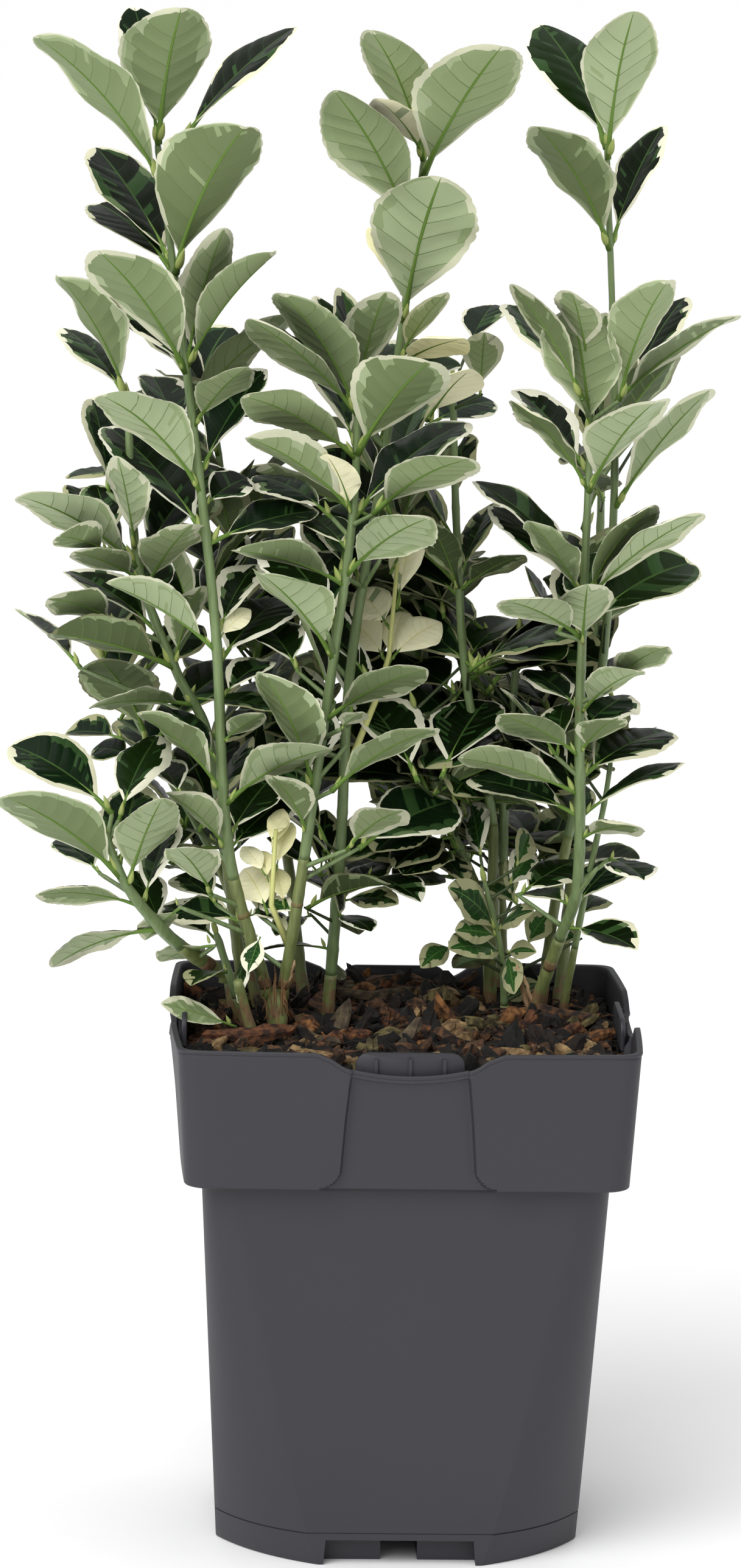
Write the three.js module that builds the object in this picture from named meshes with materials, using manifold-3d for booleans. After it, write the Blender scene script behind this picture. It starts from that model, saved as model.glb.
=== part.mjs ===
// A variegated Japanese spindle in a square nursery pot, in millimetres with Z up.
// The shrub is a clump of canes. Each cane is a bare limb that ends where its foliage starts,
// and each foliage piece is one three-sided twig with its leaves fused on in opposite pairs.
import * as THREE from "three";
import { mergeVertices } from "three/addons/utils/BufferGeometryUtils.js";
import Module from "manifold-3d";

const wasm = await Module();
wasm.setup();

// Pot: outside half widths and heights
const POT_HEIGHT = 158.6;
const RIM_HALF = 68;
const COLLAR_FOOT = 117.3;
const COLLAR_FOOT_HALF = 65.5;
const COLLAR_STEP_DROP = 1.6;
const BODY_TOP_HALF = 60.2;
const BASE_HALF = 54.25;
const RIM_CORNER = 7;
const BODY_TOP_CORNER = 9;
const BASE_CORNER = 30;
const BASE_CORNER_PULL = 0.34;
const TOP_CORNER_PULL = 0.08;
const CORNER_STEPS = 3;
const SIDE_STATIONS = [-0.6, 0, 0.6];
const RIM_BULGE = 3;
const COLLAR_FOOT_BULGE = 1.2;
const WALL = 1.6;
const FLOOR_TOP = 9.6;

// Label panel in the middle of each side of the collar
const LABEL_TOP_WIDTH = 34;
const LABEL_FOOT_WIDTH = 40;
const LABEL_DEPTH = 2.1;
const DIP_WIDTH = 55;
const DIP_FLAT_WIDTH = 26;
const DIP_HEIGHT = 152;
const TAB_WIDTH = 32;
const TAB_THICKNESS = 1.5;
const TAB_CORNER = 4;
const TAB_FOOT = 140;
const DIP_STEPS = 6;

// Drain notch and channel under each side
const NOTCH_TOP_WIDTH = 44;
const NOTCH_FOOT_WIDTH = 45.6;
const NOTCH_HEIGHT = 7.75;
const NOTCH_DEPTH = 6.5;
const CHANNEL_WIDTH = 11;
const DRAIN_HOLE_RADIUS = 4;
const DRAIN_HOLE_AT = 30;

// Bark mulch
const GAP = 0.3;
const FINEST = 0.15;
const SOIL_TOP = 147;
const CHIP_COUNT = 34;
const CHIP_SEED = 5;
const CHIP_LENGTH = [9, 22];
const CHIP_WIDTH = [5, 10];
const CHIP_THICKNESS = [3, 5];
const CHIP_TILT = 0.3;
const CHIP_LIFT = 1.5;

// Canes
const GROUND = SOIL_TOP + GAP;
const FLARE_HEIGHT = 5;
const FLARE = 0.35;
const LIMB_SIDES = 7;
const LIMB_STEP = 14;
const TWIG_SIDES = 3;
const TWIG_STEP = 16;

// Leaves
const TWIST = 4;
const LEAF_WIDTH_RATIO = 0.6;
const LEAF_THICKNESS = 1.4;
const ROOT_OFF = 0.3;
const PETIOLE = 5;
const SMALL_LEAF = 31;
const BLADE_SHARES = [0.5, 0.82];
const RIB_SHARE = 0.55;
const PETIOLE_HALF = 0.9;
const LOWEST_LEAF = 155.5;
const LOWEST_LEAF_OVER_RIM = 162.5;
const RIM_ZONE = 58;
const BLADE_SKEW = 1.22;
const BLADE_FULLNESS = 0.78;

// Seeded differences between leaves, in degrees and as shares of their size
const TURN_DRIFT = 9;
const RISE_DRIFT = 7;
const LENGTH_SPREAD = [0.92, 1.06];
const WIDTH_SPREAD = [0.9, 1.1];
const BEND = [14, 44];
const FOLD = [6, 24];
const ROLL_DRIFT = 28;
const FULL_SIZE_FROM = 1.6;

// Side shoots, each a short twig with four leaves at its tip
const SHOOT_SPREAD = [20, 50];
const SHOOT_RISE = [38, 60];
const SHOOT_LENGTH = [9, 15];
const SHOOT_RADII = [1.1, 0.9];
const SHOOT_LEAF_TURN = 35;
const SHOOT_LEAF_RISES = [30, 52];
const SHOOT_LEAF_SIZE = 0.62;

// Cells of space, and the part of a leaf near its root that other leaves may pass
const CELL = 1.6;
const SAMPLE = 1.4;
const FREE_SHARE = 0.35;
const FIRST_LIMB = 100;

// Ways to turn a leaf that finds its place taken: turn, tilt (degrees) and size
const TRIES = [
  [0, 0, 1],
  [13, 0, 1],
  [-13, 0, 1],
  [0, 11, 1],
  [0, -11, 1],
  [24, 8, 0.95],
  [-24, 8, 0.95],
  [22, -12, 0.9],
  [-22, -12, 0.9],
  [38, 12, 0.85],
  [-38, 12, 0.85],
  [50, 24, 0.7],
  [-50, 24, 0.7],
];
const STRICT_TRIES = 7;

// Short trunks that fork just over the ground: way points from foot to fork, and girths
const TRUNKS = [
  { name: "left_trunk", way: [[-37, 0, GROUND], [-38.4, 0, 163]], girth: [5, 8.4] },
  { name: "left_rear_trunk", way: [[-49, 22, GROUND], [-50.6, 20.2, 164]], girth: [5, 8.4] },
  {
    name: "right_rear_trunk",
    way: [[29, 46, GROUND], [28.4, 44, 168], [28.2, 42.6, 186]],
    girth: [5, 9.4],
  },
];

// Canes in the order in which they take their space. Each has way points [x, y, z] from its
// foot or fork to its tip, girth at both ends, the height where foliage starts, the heights
// of its leaf pairs, the heights of its side shoots, the turn of the pairs in degrees, and
// leaf length and rise (degrees) at the lowest and the highest pair. The leaves of a tuft,
// counted down from the tip, have a turn, rise and length of their own.
const CANES = [
  {
    name: "left_tall",
    seed: 197,
    way: [[-41, 0, 163.3], [-53, -6, 206], [-58, -11, 275], [-66, -14, 340], [-77, -16, 419]],
    girth: [4.6, 2.4],
    leafy: 198,
    joints: [210, 227, 269, 303, 322, 338, 353, 381, 404, 418],
    shoots: [303, 353],
    turn: -65,
    leaf: [34, 46],
    tuft: [
      [-67, 72, 45], [121, 71, 42], [-158, 52, 55], [2, 46, 45],
      [-36, 63, 45], [132, 48, 42], [-142, 51, 45], [33, 50, 42],
    ],
    rise: [36, 60],
  },
  {
    name: "middle_front",
    seed: 277,
    way: [[-36, 0, 163.3], [-33, -5, 185], [-24, -15, 258], [-18, -18, 310], [-17, -18, 346]],
    girth: [4.4, 2.6],
    leafy: 205,
    joints: [214, 229, 268, 277, 286, 297, 311, 322, 333, 345],
    shoots: [229, 268, 297],
    turn: -73,
    leaf: [34, 42],
    tuft: [
      [-75, 54, 38], [144, 46, 42], [-156, 24, 38], [40, 45, 38],
      [-54, 47, 42], [128, 40, 38], [-154, 35, 42], [37, 32, 42],
    ],
    rise: [38, 46],
  },
  {
    name: "right_front",
    seed: 325,
    way: [[39, 24, GROUND], [47, 10, 176], [52, 1, 195], [51, -8, 252], [52, -13, 340]],
    girth: [4.8, 2.4],
    leafy: 178,
    joints: [192, 208, 220, 230, 239, 254, 264, 275, 286, 295, 307, 322, 339],
    shoots: [192, 230, 275],
    turn: 31,
    leaf: [33, 41],
    tuft: [
      [-102, 59, 40], [54, 46, 42], [124, 34, 40], [-61, 41, 42],
      [-125, 40, 36], [60, 35, 36], [148, 34, 42], [-54, 35, 36],
      [-144, 39, 38], [-21, 36, 42], [-138, 22, 34], [39, 23, 40],
    ],
    rise: [24, 56],
  },
  {
    name: "left_low",
    seed: 380,
    way: [[-53, 18, 164.3], [-64, 6, 173], [-73, -4, 182.5], [-84, -13, 198], [-90, -17, 214]],
    girth: [5.6, 2.6],
    leafy: 176,
    joints: [182, 193, 202, 213],
    shoots: [193],
    turn: -28,
    leaf: [32, 41],
    tuft: [
      [142, 22, 38], [-60, 56, 32], [-161, 37, 44], [70, 40, 34],
      [-147, 11, 36], [70, 43, 32], [-143, -8, 36], [118, 25, 26],
    ],
    rise: [2, 44],
  },
  {
    name: "middle_tall",
    seed: 439,
    way: [[-22, 23, GROUND], [-19, 16, 203], [-17, 10, 260], [-8, 6, 326], [2, 4, 414]],
    girth: [4.8, 2.6],
    leafy: 164,
    joints: [172, 186, 199, 215, 272, 284, 296, 356, 368, 386, 400, 413],
    fallen: [215],
    shoots: [186, 284],
    turn: 64,
    leaf: [26, 45],
    tuft: [
      [-139, 62, 44], [35, 55, 40], [-21, 61, 46], [150, 64, 46],
      [104, 30, 36], [-80, 40, 34], [-48, 74, 46], [128, 50, 38],
    ],
    rise: [14, 62],
  },
  {
    name: "right_tall",
    seed: 223,
    way: [[44, 42, GROUND], [49, 37, 192], [59, 30, 248], [62, 24, 318], [57, 20, 418]],
    girth: [4.8, 2.4],
    leafy: 205,
    joints: [216, 230, 246, 262, 282, 300, 318, 342, 367, 392, 417],
    fallen: [367],
    shoots: [262, 318],
    turn: -74,
    leaf: [32, 44],
    tuft: [
      [-79, 69, 46], [129, 50, 44], [-139, 49, 42], [59, 49, 38],
      [20, 32, 44], [112, 38, 40], [-41, 42, 42], [130, 35, 38],
    ],
    rise: [22, 62],
  },
  {
    name: "left_second",
    seed: 362,
    way: [[-48.4, 22.4, 164.3], [-60, 12, 240], [-69, 8, 258], [-81, 2, 291], [-85, 0, 342]],
    girth: [4.4, 2.6],
    leafy: 200,
    joints: [210, 223, 237, 250, 262, 275, 290, 301, 313, 328, 341],
    shoots: [237, 262],
    turn: 8,
    leaf: [32, 43],
    tuft: [
      [-148, 55, 44], [32, 50, 36], [120, 30, 36], [-60, 45, 38],
    ],
    rise: [24, 50],
  },
  {
    name: "left_rear_short",
    seed: 83,
    way: [[-42, 38, GROUND], [-54, 40, 190], [-76, 36, 230], [-92, 32, 260]],
    girth: [4.2, 2.2],
    leafy: 196,
    joints: [206, 219, 232, 246, 259],
    shoots: [219, 246],
    turn: 42,
    leaf: [32, 37],
    rise: [18, 46],
  },
  {
    name: "right_rear",
    seed: 97,
    way: [[32, 44.2, 186.3], [32, 43, 220], [34, 45, 245], [36, 48, 276]],
    girth: [3.8, 2.4],
    leafy: 195,
    joints: [203, 214, 226, 238, 250, 263, 275],
    shoots: [214, 238, 263],
    turn: 44,
    leaf: [36, 39],
    rise: [34, 50],
  },
  {
    name: "middle_rear",
    seed: 46,
    way: [[28.6, 40.6, 186.3], [28, 38, 210], [19, 34, 253], [15, 31, 300], [13, 32, 345]],
    girth: [3.8, 2.4],
    leafy: 208,
    joints: [217, 230, 242, 255, 268, 281, 294, 306, 319, 332, 344],
    shoots: [255, 281],
    turn: -56,
    leaf: [36, 40],
    rise: [34, 58],
  },
  {
    name: "middle_low",
    seed: 107,
    way: [[24.5, 42.9, 186.3], [12, 36, 215], [3, 31, 246]],
    girth: [3.6, 2.2],
    leafy: 192,
    joints: [200, 211, 222, 234, 245],
    shoots: [211, 234],
    turn: 35,
    leaf: [35, 38],
    rise: [34, 50],
  },
  {
    name: "right_low",
    seed: 109,
    way: [[50, 32, GROUND], [56, 22, 190], [61, 14, 222], [63, 9, 246]],
    girth: [3.8, 2.2],
    leafy: 172,
    joints: [181, 193, 206, 219, 232, 245],
    shoots: [193, 219],
    turn: -45,
    leaf: [24, 34],
    rise: [14, 46],
  },
  {
    name: "left_inner",
    seed: 111,
    way: [[-44, -9, GROUND], [-58, -22, 196], [-70, -29, 225], [-80, -32, 248]],
    girth: [4.2, 2.2],
    leafy: 176,
    joints: [185, 197, 209, 222, 235, 247],
    shoots: [197, 222],
    turn: 38,
    leaf: [31, 37],
    rise: [20, 52],
  },
  {
    name: "left_basal",
    seed: 112,
    way: [[-46, 10, GROUND], [-54, 7, 172], [-64, 3, 204]],
    girth: [3.4, 2],
    leafy: 159,
    joints: [167, 176, 185, 194, 203],
    shoots: [185],
    turn: 25,
    leaf: [26, 33],
    rise: [16, 52],
  },
  {
    name: "low_fresh",
    seed: 113,
    way: [[33, 32, GROUND], [31, 28, 170], [25, 22, 194]],
    girth: [3, 1.8],
    leafy: 153,
    joints: [160, 168, 176, 185, 193],
    shoots: [176],
    turn: 20,
    leaf: [20, 25],
    rise: [8, 50],
  },
  {
    name: "rear_left",
    seed: 127,
    way: [[-28, 44, GROUND], [-38, 53, 220], [-54, 60, 300], [-62, 62, 352]],
    girth: [5, 2.4],
    leafy: 196,
    joints: [206, 222, 238, 254, 270, 286, 301, 318, 335, 351],
    shoots: [222, 286],
    turn: 48,
    leaf: [32, 42],
    rise: [26, 58],
  },
  {
    name: "rear_middle",
    seed: 131,
    way: [[33, 58, GROUND], [31, 60, 190], [12, 64, 240], [-8, 67, 322]],
    girth: [4.8, 2.4],
    leafy: 192,
    joints: [201, 218, 234, 250, 264, 278, 292, 307, 321],
    shoots: [250],
    turn: -42,
    leaf: [32, 41],
    rise: [26, 56],
  },
  {
    name: "rear_right",
    seed: 149,
    way: [[50, 46, GROUND], [56, 56, 220], [61, 66, 300], [58, 70, 372]],
    girth: [5.2, 2.4],
    leafy: 190,
    joints: [201, 217, 233, 249, 265, 281, 297, 314, 333, 352, 371],
    shoots: [233, 281],
    turn: 46,
    leaf: [32, 43],
    rise: [26, 60],
  },
];

// Materials
const potPlastic = new THREE.MeshStandardMaterial({ color: 0x4a4b50, roughness: 0.75 });
const bark = new THREE.MeshStandardMaterial({ color: 0x4a3124, roughness: 0.95 });
const stemSkin = new THREE.MeshStandardMaterial({ color: 0x6d8560, roughness: 0.7 });
const foliage = new THREE.MeshStandardMaterial({ color: 0x7f9a73, roughness: 0.45 });

// Seeded random numbers from 0 to 1
function makeRandom(seed) {
  let state = seed >>> 0;
  return () => {
    state = (state + 0x6d2b79f5) >>> 0;
    let mixed = Math.imul(state ^ (state >>> 15), state | 1);
    mixed ^= mixed + Math.imul(mixed ^ (mixed >>> 7), mixed | 61);
    return ((mixed ^ (mixed >>> 14)) >>> 0) / 4294967296;
  };
}

const mix = (a, b, t) => a + (b - a) * t;
const radians = (degrees) => (degrees * Math.PI) / 180;
const between = (range, random) => mix(range[0], range[1], random());

// Closed solid from positions and triangles
function solidFrom(positions, triangles) {
  const geometry = new THREE.BufferGeometry();
  geometry.setAttribute("position", new THREE.Float32BufferAttribute(positions, 3));
  geometry.setIndex(triangles);
  return solidOf(geometry);
}

function solidOf(geometry) {
  const bare = geometry.clone();
  bare.deleteAttribute("normal");
  bare.deleteAttribute("uv");
  const merged = mergeVertices(bare, 1e-4);
  return new wasm.Manifold(
    new wasm.Mesh({
      numProp: 3,
      vertProperties: new Float32Array(merged.attributes.position.array),
      triVerts: new Uint32Array(merged.index.array),
    }),
  );
}

// Solid through rings of points, each counterclockwise seen from the last ring's end
function loft(rings) {
  const count = rings[0].length;
  const positions = rings.flat(2);
  const triangles = [];
  for (let ring = 0; ring + 1 < rings.length; ring++) {
    for (let i = 0; i < count; i++) {
      const a = ring * count + i;
      const b = ring * count + ((i + 1) % count);
      triangles.push(a, b, b + count, a, b + count, a + count);
    }
  }
  const last = (rings.length - 1) * count;
  const foot = rings.length * count;
  positions.push(...middleOf(rings[0]), ...middleOf(rings[rings.length - 1]));
  for (let i = 0; i < count; i++) {
    const next = (i + 1) % count;
    triangles.push(foot, next, i, foot + 1, last + i, last + next);
  }
  return solidFrom(positions, triangles);
}

function middleOf(ring) {
  return [0, 1, 2].map((axis) => ring.reduce((sum, point) => sum + point[axis], 0) / ring.length);
}

function quarterTurns(solid) {
  return [0, 90, 180, 270].map((angle) => solid.rotate([0, 0, angle]));
}

// Pot outline at one height: four corner curves joined by sides that bow outwards
function potRing(z, half, corner, pull, bulge) {
  const quarter = [];
  const straight = half - corner;
  for (const along of SIDE_STATIONS) {
    quarter.push([half + bulge * (1 - along * along), along * straight]);
  }
  for (let i = 0; i <= CORNER_STEPS; i++) {
    const t = i / CORNER_STEPS;
    const control = half - pull * corner;
    const a = (1 - t) * (1 - t);
    const b = 2 * t * (1 - t);
    const c = t * t;
    quarter.push([a * half + b * control + c * straight, a * straight + b * control + c * half]);
  }
  const ring = [];
  for (let side = 0; side < 4; side++) {
    for (const [x, y] of quarter) {
      const turned = [[x, y], [-y, x], [-x, -y], [y, -x]][side];
      ring.push([turned[0], turned[1], z]);
    }
  }
  return ring;
}

// Pot profile from the foot to the rim, moved inwards by inset
function potProfile(inset) {
  const rows = [];
  for (const share of [0, 0.25, 0.5, 0.75, 1]) {
    const z = share * (COLLAR_FOOT - COLLAR_STEP_DROP);
    const half = mix(BASE_HALF, BODY_TOP_HALF, share);
    const corner = mix(BASE_CORNER, BODY_TOP_CORNER, Math.pow(share, 0.8));
    rows.push([z, half - inset, corner, mix(BASE_CORNER_PULL, TOP_CORNER_PULL, share), 0]);
  }
  rows.push([COLLAR_FOOT, COLLAR_FOOT_HALF - inset, RIM_CORNER, TOP_CORNER_PULL, COLLAR_FOOT_BULGE]);
  rows.push([POT_HEIGHT, RIM_HALF - inset, RIM_CORNER - 1, TOP_CORNER_PULL, RIM_BULGE]);
  return rows;
}

// The inside of the pot from one height to another, kept clear of the wall by a gap
function potInside(from, to, gap) {
  const rows = potProfile(WALL + gap);
  const inside = rows.filter((row) => row[0] > from && row[0] < to);
  const level = (z) => {
    const above = rows.findIndex((row) => row[0] >= z);
    const a = rows[Math.max(above - 1, 0)];
    const b = above < 0 ? rows[rows.length - 1] : rows[above];
    const t = b[0] > a[0] ? Math.min((z - a[0]) / (b[0] - a[0]), 1) : 0;
    return [z, ...[1, 2, 3, 4].map((i) => mix(a[i], b[i], t))];
  };
  return loft([level(from), ...inside, level(to)].map((row) => potRing(...row)));
}

// Block whose foot and top are rectangles: [x half width, near y, far y, z]
function wedge(foot, top) {
  const ring = ([halfWidth, near, far, z]) => [
    [-halfWidth, near, z],
    [halfWidth, near, z],
    [halfWidth, far, z],
    [-halfWidth, far, z],
  ];
  return loft([ring(foot), ring(top)]);
}

// Upright outline in x and z, made solid from the near y to the far y
function upright(outline, near, far) {
  const shape = new THREE.Shape(outline.map(([x, z]) => new THREE.Vector2(x, z)));
  const geometry = new THREE.ExtrudeGeometry(shape, { depth: far - near, bevelEnabled: false });
  geometry.rotateX(Math.PI / 2);
  geometry.translate(0, far, 0);
  return solidOf(geometry);
}

// Line of the rim where it dips over the label panel
function dipOutline() {
  const outline = [];
  for (let i = 0; i <= DIP_STEPS; i++) {
    const t = i / DIP_STEPS;
    const ease = t * t * (3 - 2 * t);
    const x = mix(DIP_WIDTH / 2, DIP_FLAT_WIDTH / 2, t);
    outline.push([x, mix(POT_HEIGHT, DIP_HEIGHT, ease)]);
  }
  const mirrored = outline.map(([x, z]) => [-x, z]);
  const over = POT_HEIGHT + 2;
  return [[-DIP_WIDTH / 2, over], ...mirrored, ...outline.toReversed(), [DIP_WIDTH / 2, over]];
}

function tabOutline() {
  const half = TAB_WIDTH / 2;
  const outline = [[-half, TAB_FOOT], [half, TAB_FOOT]];
  for (const side of [1, -1]) {
    for (let i = 0; i <= 3; i++) {
      const angle = side > 0 ? radians(i * 30) : radians(90 + i * 30);
      const x = side * (half - TAB_CORNER) + TAB_CORNER * Math.cos(angle);
      outline.push([x, POT_HEIGHT - 0.4 - TAB_CORNER + TAB_CORNER * Math.sin(angle)]);
    }
  }
  return outline;
}

function potSolid() {
  const outside = loft(potProfile(0).map((row) => potRing(...row)));
  const panelFoot = COLLAR_FOOT_HALF + COLLAR_FOOT_BULGE - LABEL_DEPTH;
  const panelTop = RIM_HALF + RIM_BULGE - LABEL_DEPTH;
  const footHalf = LABEL_FOOT_WIDTH / 2;
  const topHalf = LABEL_TOP_WIDTH / 2;
  const over = POT_HEIGHT + 1;
  const pad = wedge(
    [footHalf + WALL, -panelFoot - 1, WALL - panelFoot, COLLAR_FOOT],
    [topHalf + WALL, -panelTop - 1, WALL - panelTop, over],
  );
  const recess = wedge(
    [footHalf, -panelFoot - 8, -panelFoot, COLLAR_FOOT + WALL],
    [topHalf, -panelTop - 8, -panelTop, over],
  );
  const dip = upright(dipOutline(), -RIM_HALF - RIM_BULGE - 3, WALL + 1 - panelTop);
  const tab = upright(tabOutline(), WALL - 0.4 - panelTop, WALL - 0.4 + TAB_THICKNESS - panelTop);
  const notch = wedge(
    [NOTCH_FOOT_WIDTH / 2, -BASE_HALF - 3, NOTCH_DEPTH - BASE_HALF, -1],
    [NOTCH_TOP_WIDTH / 2, -BASE_HALF - 3, NOTCH_DEPTH - BASE_HALF, NOTCH_HEIGHT],
  );
  const channel = wedge(
    [CHANNEL_WIDTH / 2, -BASE_HALF - 1, 1, -1],
    [CHANNEL_WIDTH / 2, -BASE_HALF - 1, 1, NOTCH_HEIGHT],
  );
  const hole = solidOf(
    new THREE.CylinderGeometry(DRAIN_HOLE_RADIUS, DRAIN_HOLE_RADIUS, 2 * FLOOR_TOP, 8)
      .rotateX(Math.PI / 2)
      .translate(0, -DRAIN_HOLE_AT, FLOOR_TOP),
  );
  const inside = quarterTurns(pad).reduce(
    (room, block) => room.subtract(block),
    potInside(FLOOR_TOP, POT_HEIGHT + 1, 0),
  );
  let pot = outside.subtract(inside);
  for (const cut of [recess, dip, notch, channel, hole]) {
    pot = quarterTurns(cut).reduce((body, block) => body.subtract(block), pot);
  }
  return quarterTurns(tab).reduce((body, block) => body.add(block), pot);
}

// Mulch: a flat-topped fill with bark chips lying half sunk in it, clear of the canes' feet
function mulchSolid(feet) {
  const random = makeRandom(CHIP_SEED);
  let mulch = potInside(FLOOR_TOP + GAP, SOIL_TOP, GAP + LABEL_DEPTH);
  const reach = COLLAR_FOOT_HALF - WALL - LABEL_DEPTH;
  for (let i = 0; i < CHIP_COUNT; i++) {
    const size = [CHIP_LENGTH, CHIP_WIDTH, CHIP_THICKNESS].map((range) => between(range, random));
    const room = reach - size[0] / 2 - 2;
    const x = mix(-room, room, random());
    const y = mix(-room, room, random());
    const turn = random() * Math.PI;
    const tilt = mix(-CHIP_TILT, CHIP_TILT, random());
    const lift = mix(0, CHIP_LIFT, random());
    const clear = feet.every(
      ([fx, fy, radius]) => Math.hypot(x - fx, y - fy) > radius + Math.hypot(size[0], size[1]) / 2 + 1,
    );
    if (!clear) continue;
    const chip = new THREE.BoxGeometry(size[0], size[1], size[2]);
    chip.rotateY(tilt).rotateZ(turn).translate(x, y, SOIL_TOP + lift);
    mulch = mulch.add(solidOf(chip));
  }
  return mulch;
}

// Point of a cane at a height, on a smooth curve through its way points
function caneAt(way, z) {
  const slope = (i, axis) => {
    const a = way[Math.max(i - 1, 0)];
    const b = way[Math.min(i + 1, way.length - 1)];
    return (b[axis] - a[axis]) / (b[2] - a[2]);
  };
  let i = 0;
  while (i < way.length - 2 && z > way[i + 1][2]) i++;
  const span = way[i + 1][2] - way[i][2];
  const t = (z - way[i][2]) / span;
  const at = (axis) =>
    (1 + 2 * t) * (1 - t) * (1 - t) * way[i][axis] +
    t * (1 - t) * (1 - t) * span * slope(i, axis) +
    t * t * (3 - 2 * t) * way[i + 1][axis] +
    t * t * (t - 1) * span * slope(i + 1, axis);
  return [at(0), at(1), z];
}

function caneDirection(way, z) {
  const low = caneAt(way, z - 0.5);
  const high = caneAt(way, z + 0.5);
  return new THREE.Vector3(high[0] - low[0], high[1] - low[1], 1).normalize();
}

// Radius of a cane at a height: an even taper, and a flare where it leaves the ground
function caneRadius(cane, z) {
  const foot = cane.way[0][2];
  const tip = cane.way[cane.way.length - 1][2];
  const radius = mix(cane.girth[0], cane.girth[1], (z - foot) / (tip - foot)) / 2;
  const flare = foot === GROUND ? FLARE * Math.exp((foot - z) / FLARE_HEIGHT) : 0;
  return radius * (1 + flare);
}

// Ring of points round a cane; a level ring is a flat cut
function caneRing(cane, z, sides, level) {
  const centre = new THREE.Vector3(...caneAt(cane.way, z));
  const along = level ? new THREE.Vector3(0, 0, 1) : caneDirection(cane.way, z);
  const across = new THREE.Vector3(0, 1, 0).cross(along).normalize();
  const back = along.clone().cross(across);
  const radius = caneRadius(cane, z);
  const ring = [];
  for (let i = 0; i < sides; i++) {
    const angle = (2 * Math.PI * i) / sides;
    const point = centre.clone();
    point.addScaledVector(across, radius * Math.cos(angle));
    point.addScaledVector(back, radius * Math.sin(angle));
    ring.push(point.toArray());
  }
  return ring;
}

function caneSolid(cane, from, to, sides, step) {
  const steps = Math.max(1, Math.round((to - from) / step));
  const rings = [];
  for (let i = 0; i <= steps; i++) {
    const z = mix(from, to, i / steps);
    rings.push(caneRing(cane, z, sides, i === 0 || i === steps));
  }
  return loft(rings);
}

// Leaf as an arc that starts at its rise and bends down to its tip
function leafFrame(leaf, share) {
  const azimuth = radians(leaf.turn);
  const start = radians(leaf.rise + leaf.bend / 2);
  const bend = radians(leaf.bend);
  const now = start - bend * share;
  const run = (leaf.length * (Math.sin(start) - Math.sin(now))) / bend;
  const lift = (leaf.length * (Math.cos(now) - Math.cos(start))) / bend;
  const out = new THREE.Vector3(Math.cos(azimuth), Math.sin(azimuth), 0);
  const middle = new THREE.Vector3(...leaf.base).addScaledVector(out, run);
  middle.z += lift;
  const side = new THREE.Vector3(-out.y, out.x, 0);
  const normal = out.clone().multiplyScalar(-Math.sin(now));
  normal.z = Math.cos(now);
  const roll = radians(leaf.roll);
  const turnedSide = side.clone().multiplyScalar(Math.cos(roll));
  turnedSide.addScaledVector(normal, Math.sin(roll));
  const turnedNormal = normal.clone().multiplyScalar(Math.cos(roll));
  turnedNormal.addScaledVector(side, -Math.sin(roll));
  return { middle, side: turnedSide, normal: turnedNormal };
}

// Half width of the blade as a share of its greatest half width
function bladeWidth(share) {
  return Math.pow(Math.sin(Math.PI * Math.pow(share, BLADE_SKEW)), BLADE_FULLNESS);
}

// Point of a leaf: share along the midrib, and side from -1 to 1
function leafPoint(leaf, share, side) {
  const petiole = PETIOLE / leaf.length;
  const frame = leafFrame(leaf, share);
  const blade = share > petiole ? bladeWidth((share - petiole) / (1 - petiole)) : 0;
  const half = Math.max(PETIOLE_HALF * (share < 0.5 ? 1 : 0), (blade * leaf.width) / 2);
  const fold = radians(leaf.fold);
  const point = frame.middle.clone();
  point.addScaledVector(frame.side, side * half * Math.cos(fold));
  return point.addScaledVector(frame.normal, Math.abs(side) * half * Math.sin(fold));
}

// Closed leaf: an outline round one point over and one point under the midrib; a leaf that is
// not small also has its petiole in the outline
function leafSolid(leaf) {
  const petiole = PETIOLE / leaf.length;
  const sides = leaf.length < SMALL_LEAF ? BLADE_SHARES : [petiole, ...BLADE_SHARES];
  const outline = [leafPoint(leaf, 0, 0)];
  outline.push(...sides.map((share) => leafPoint(leaf, share, -1)));
  outline.push(leafPoint(leaf, 1, 0));
  outline.push(...sides.toReversed().map((share) => leafPoint(leaf, share, 1)));
  const { middle, normal } = leafFrame(leaf, RIB_SHARE);
  const over = middle.clone().addScaledVector(normal, LEAF_THICKNESS / 2);
  const under = middle.clone().addScaledVector(normal, -LEAF_THICKNESS / 2);
  const count = outline.length;
  const triangles = [];
  for (let a = 0; a < count; a++) {
    const b = (a + 1) % count;
    triangles.push(a, b, count, b, a, count + 1);
  }
  return solidFrom([...outline, over, under].flatMap((point) => point.toArray()), triangles);
}

// Space: small cells, each taken by the first limb or foliage piece that needs it
const taken = new Map();
const takenByLeaf = new Map();
const cellOf = (point) => point.map((value) => Math.floor(value / CELL));
const keyOf = (x, y, z) => (x + 512) * 1048576 + (y + 512) * 1024 + z;

function takeCells(points, owner) {
  for (const point of points) {
    const [x, y, z] = cellOf(point);
    for (let dx = -1; dx <= 1; dx++) {
      for (let dy = -1; dy <= 1; dy++) {
        for (let dz = -1; dz <= 1; dz++) {
          const key = keyOf(x + dx, y + dy, z + dz);
          if (!taken.has(key)) taken.set(key, owner);
        }
      }
    }
  }
}

function takenByOther(points, owner) {
  return points.some((point) => {
    const holder = taken.get(keyOf(...cellOf(point)));
    return holder !== undefined && holder !== owner;
  });
}

function limbPoints(cane, from, to) {
  const points = [];
  for (let z = from; z <= to; z += SAMPLE) points.push(...caneRing(cane, z, 6, false));
  return points;
}

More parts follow.
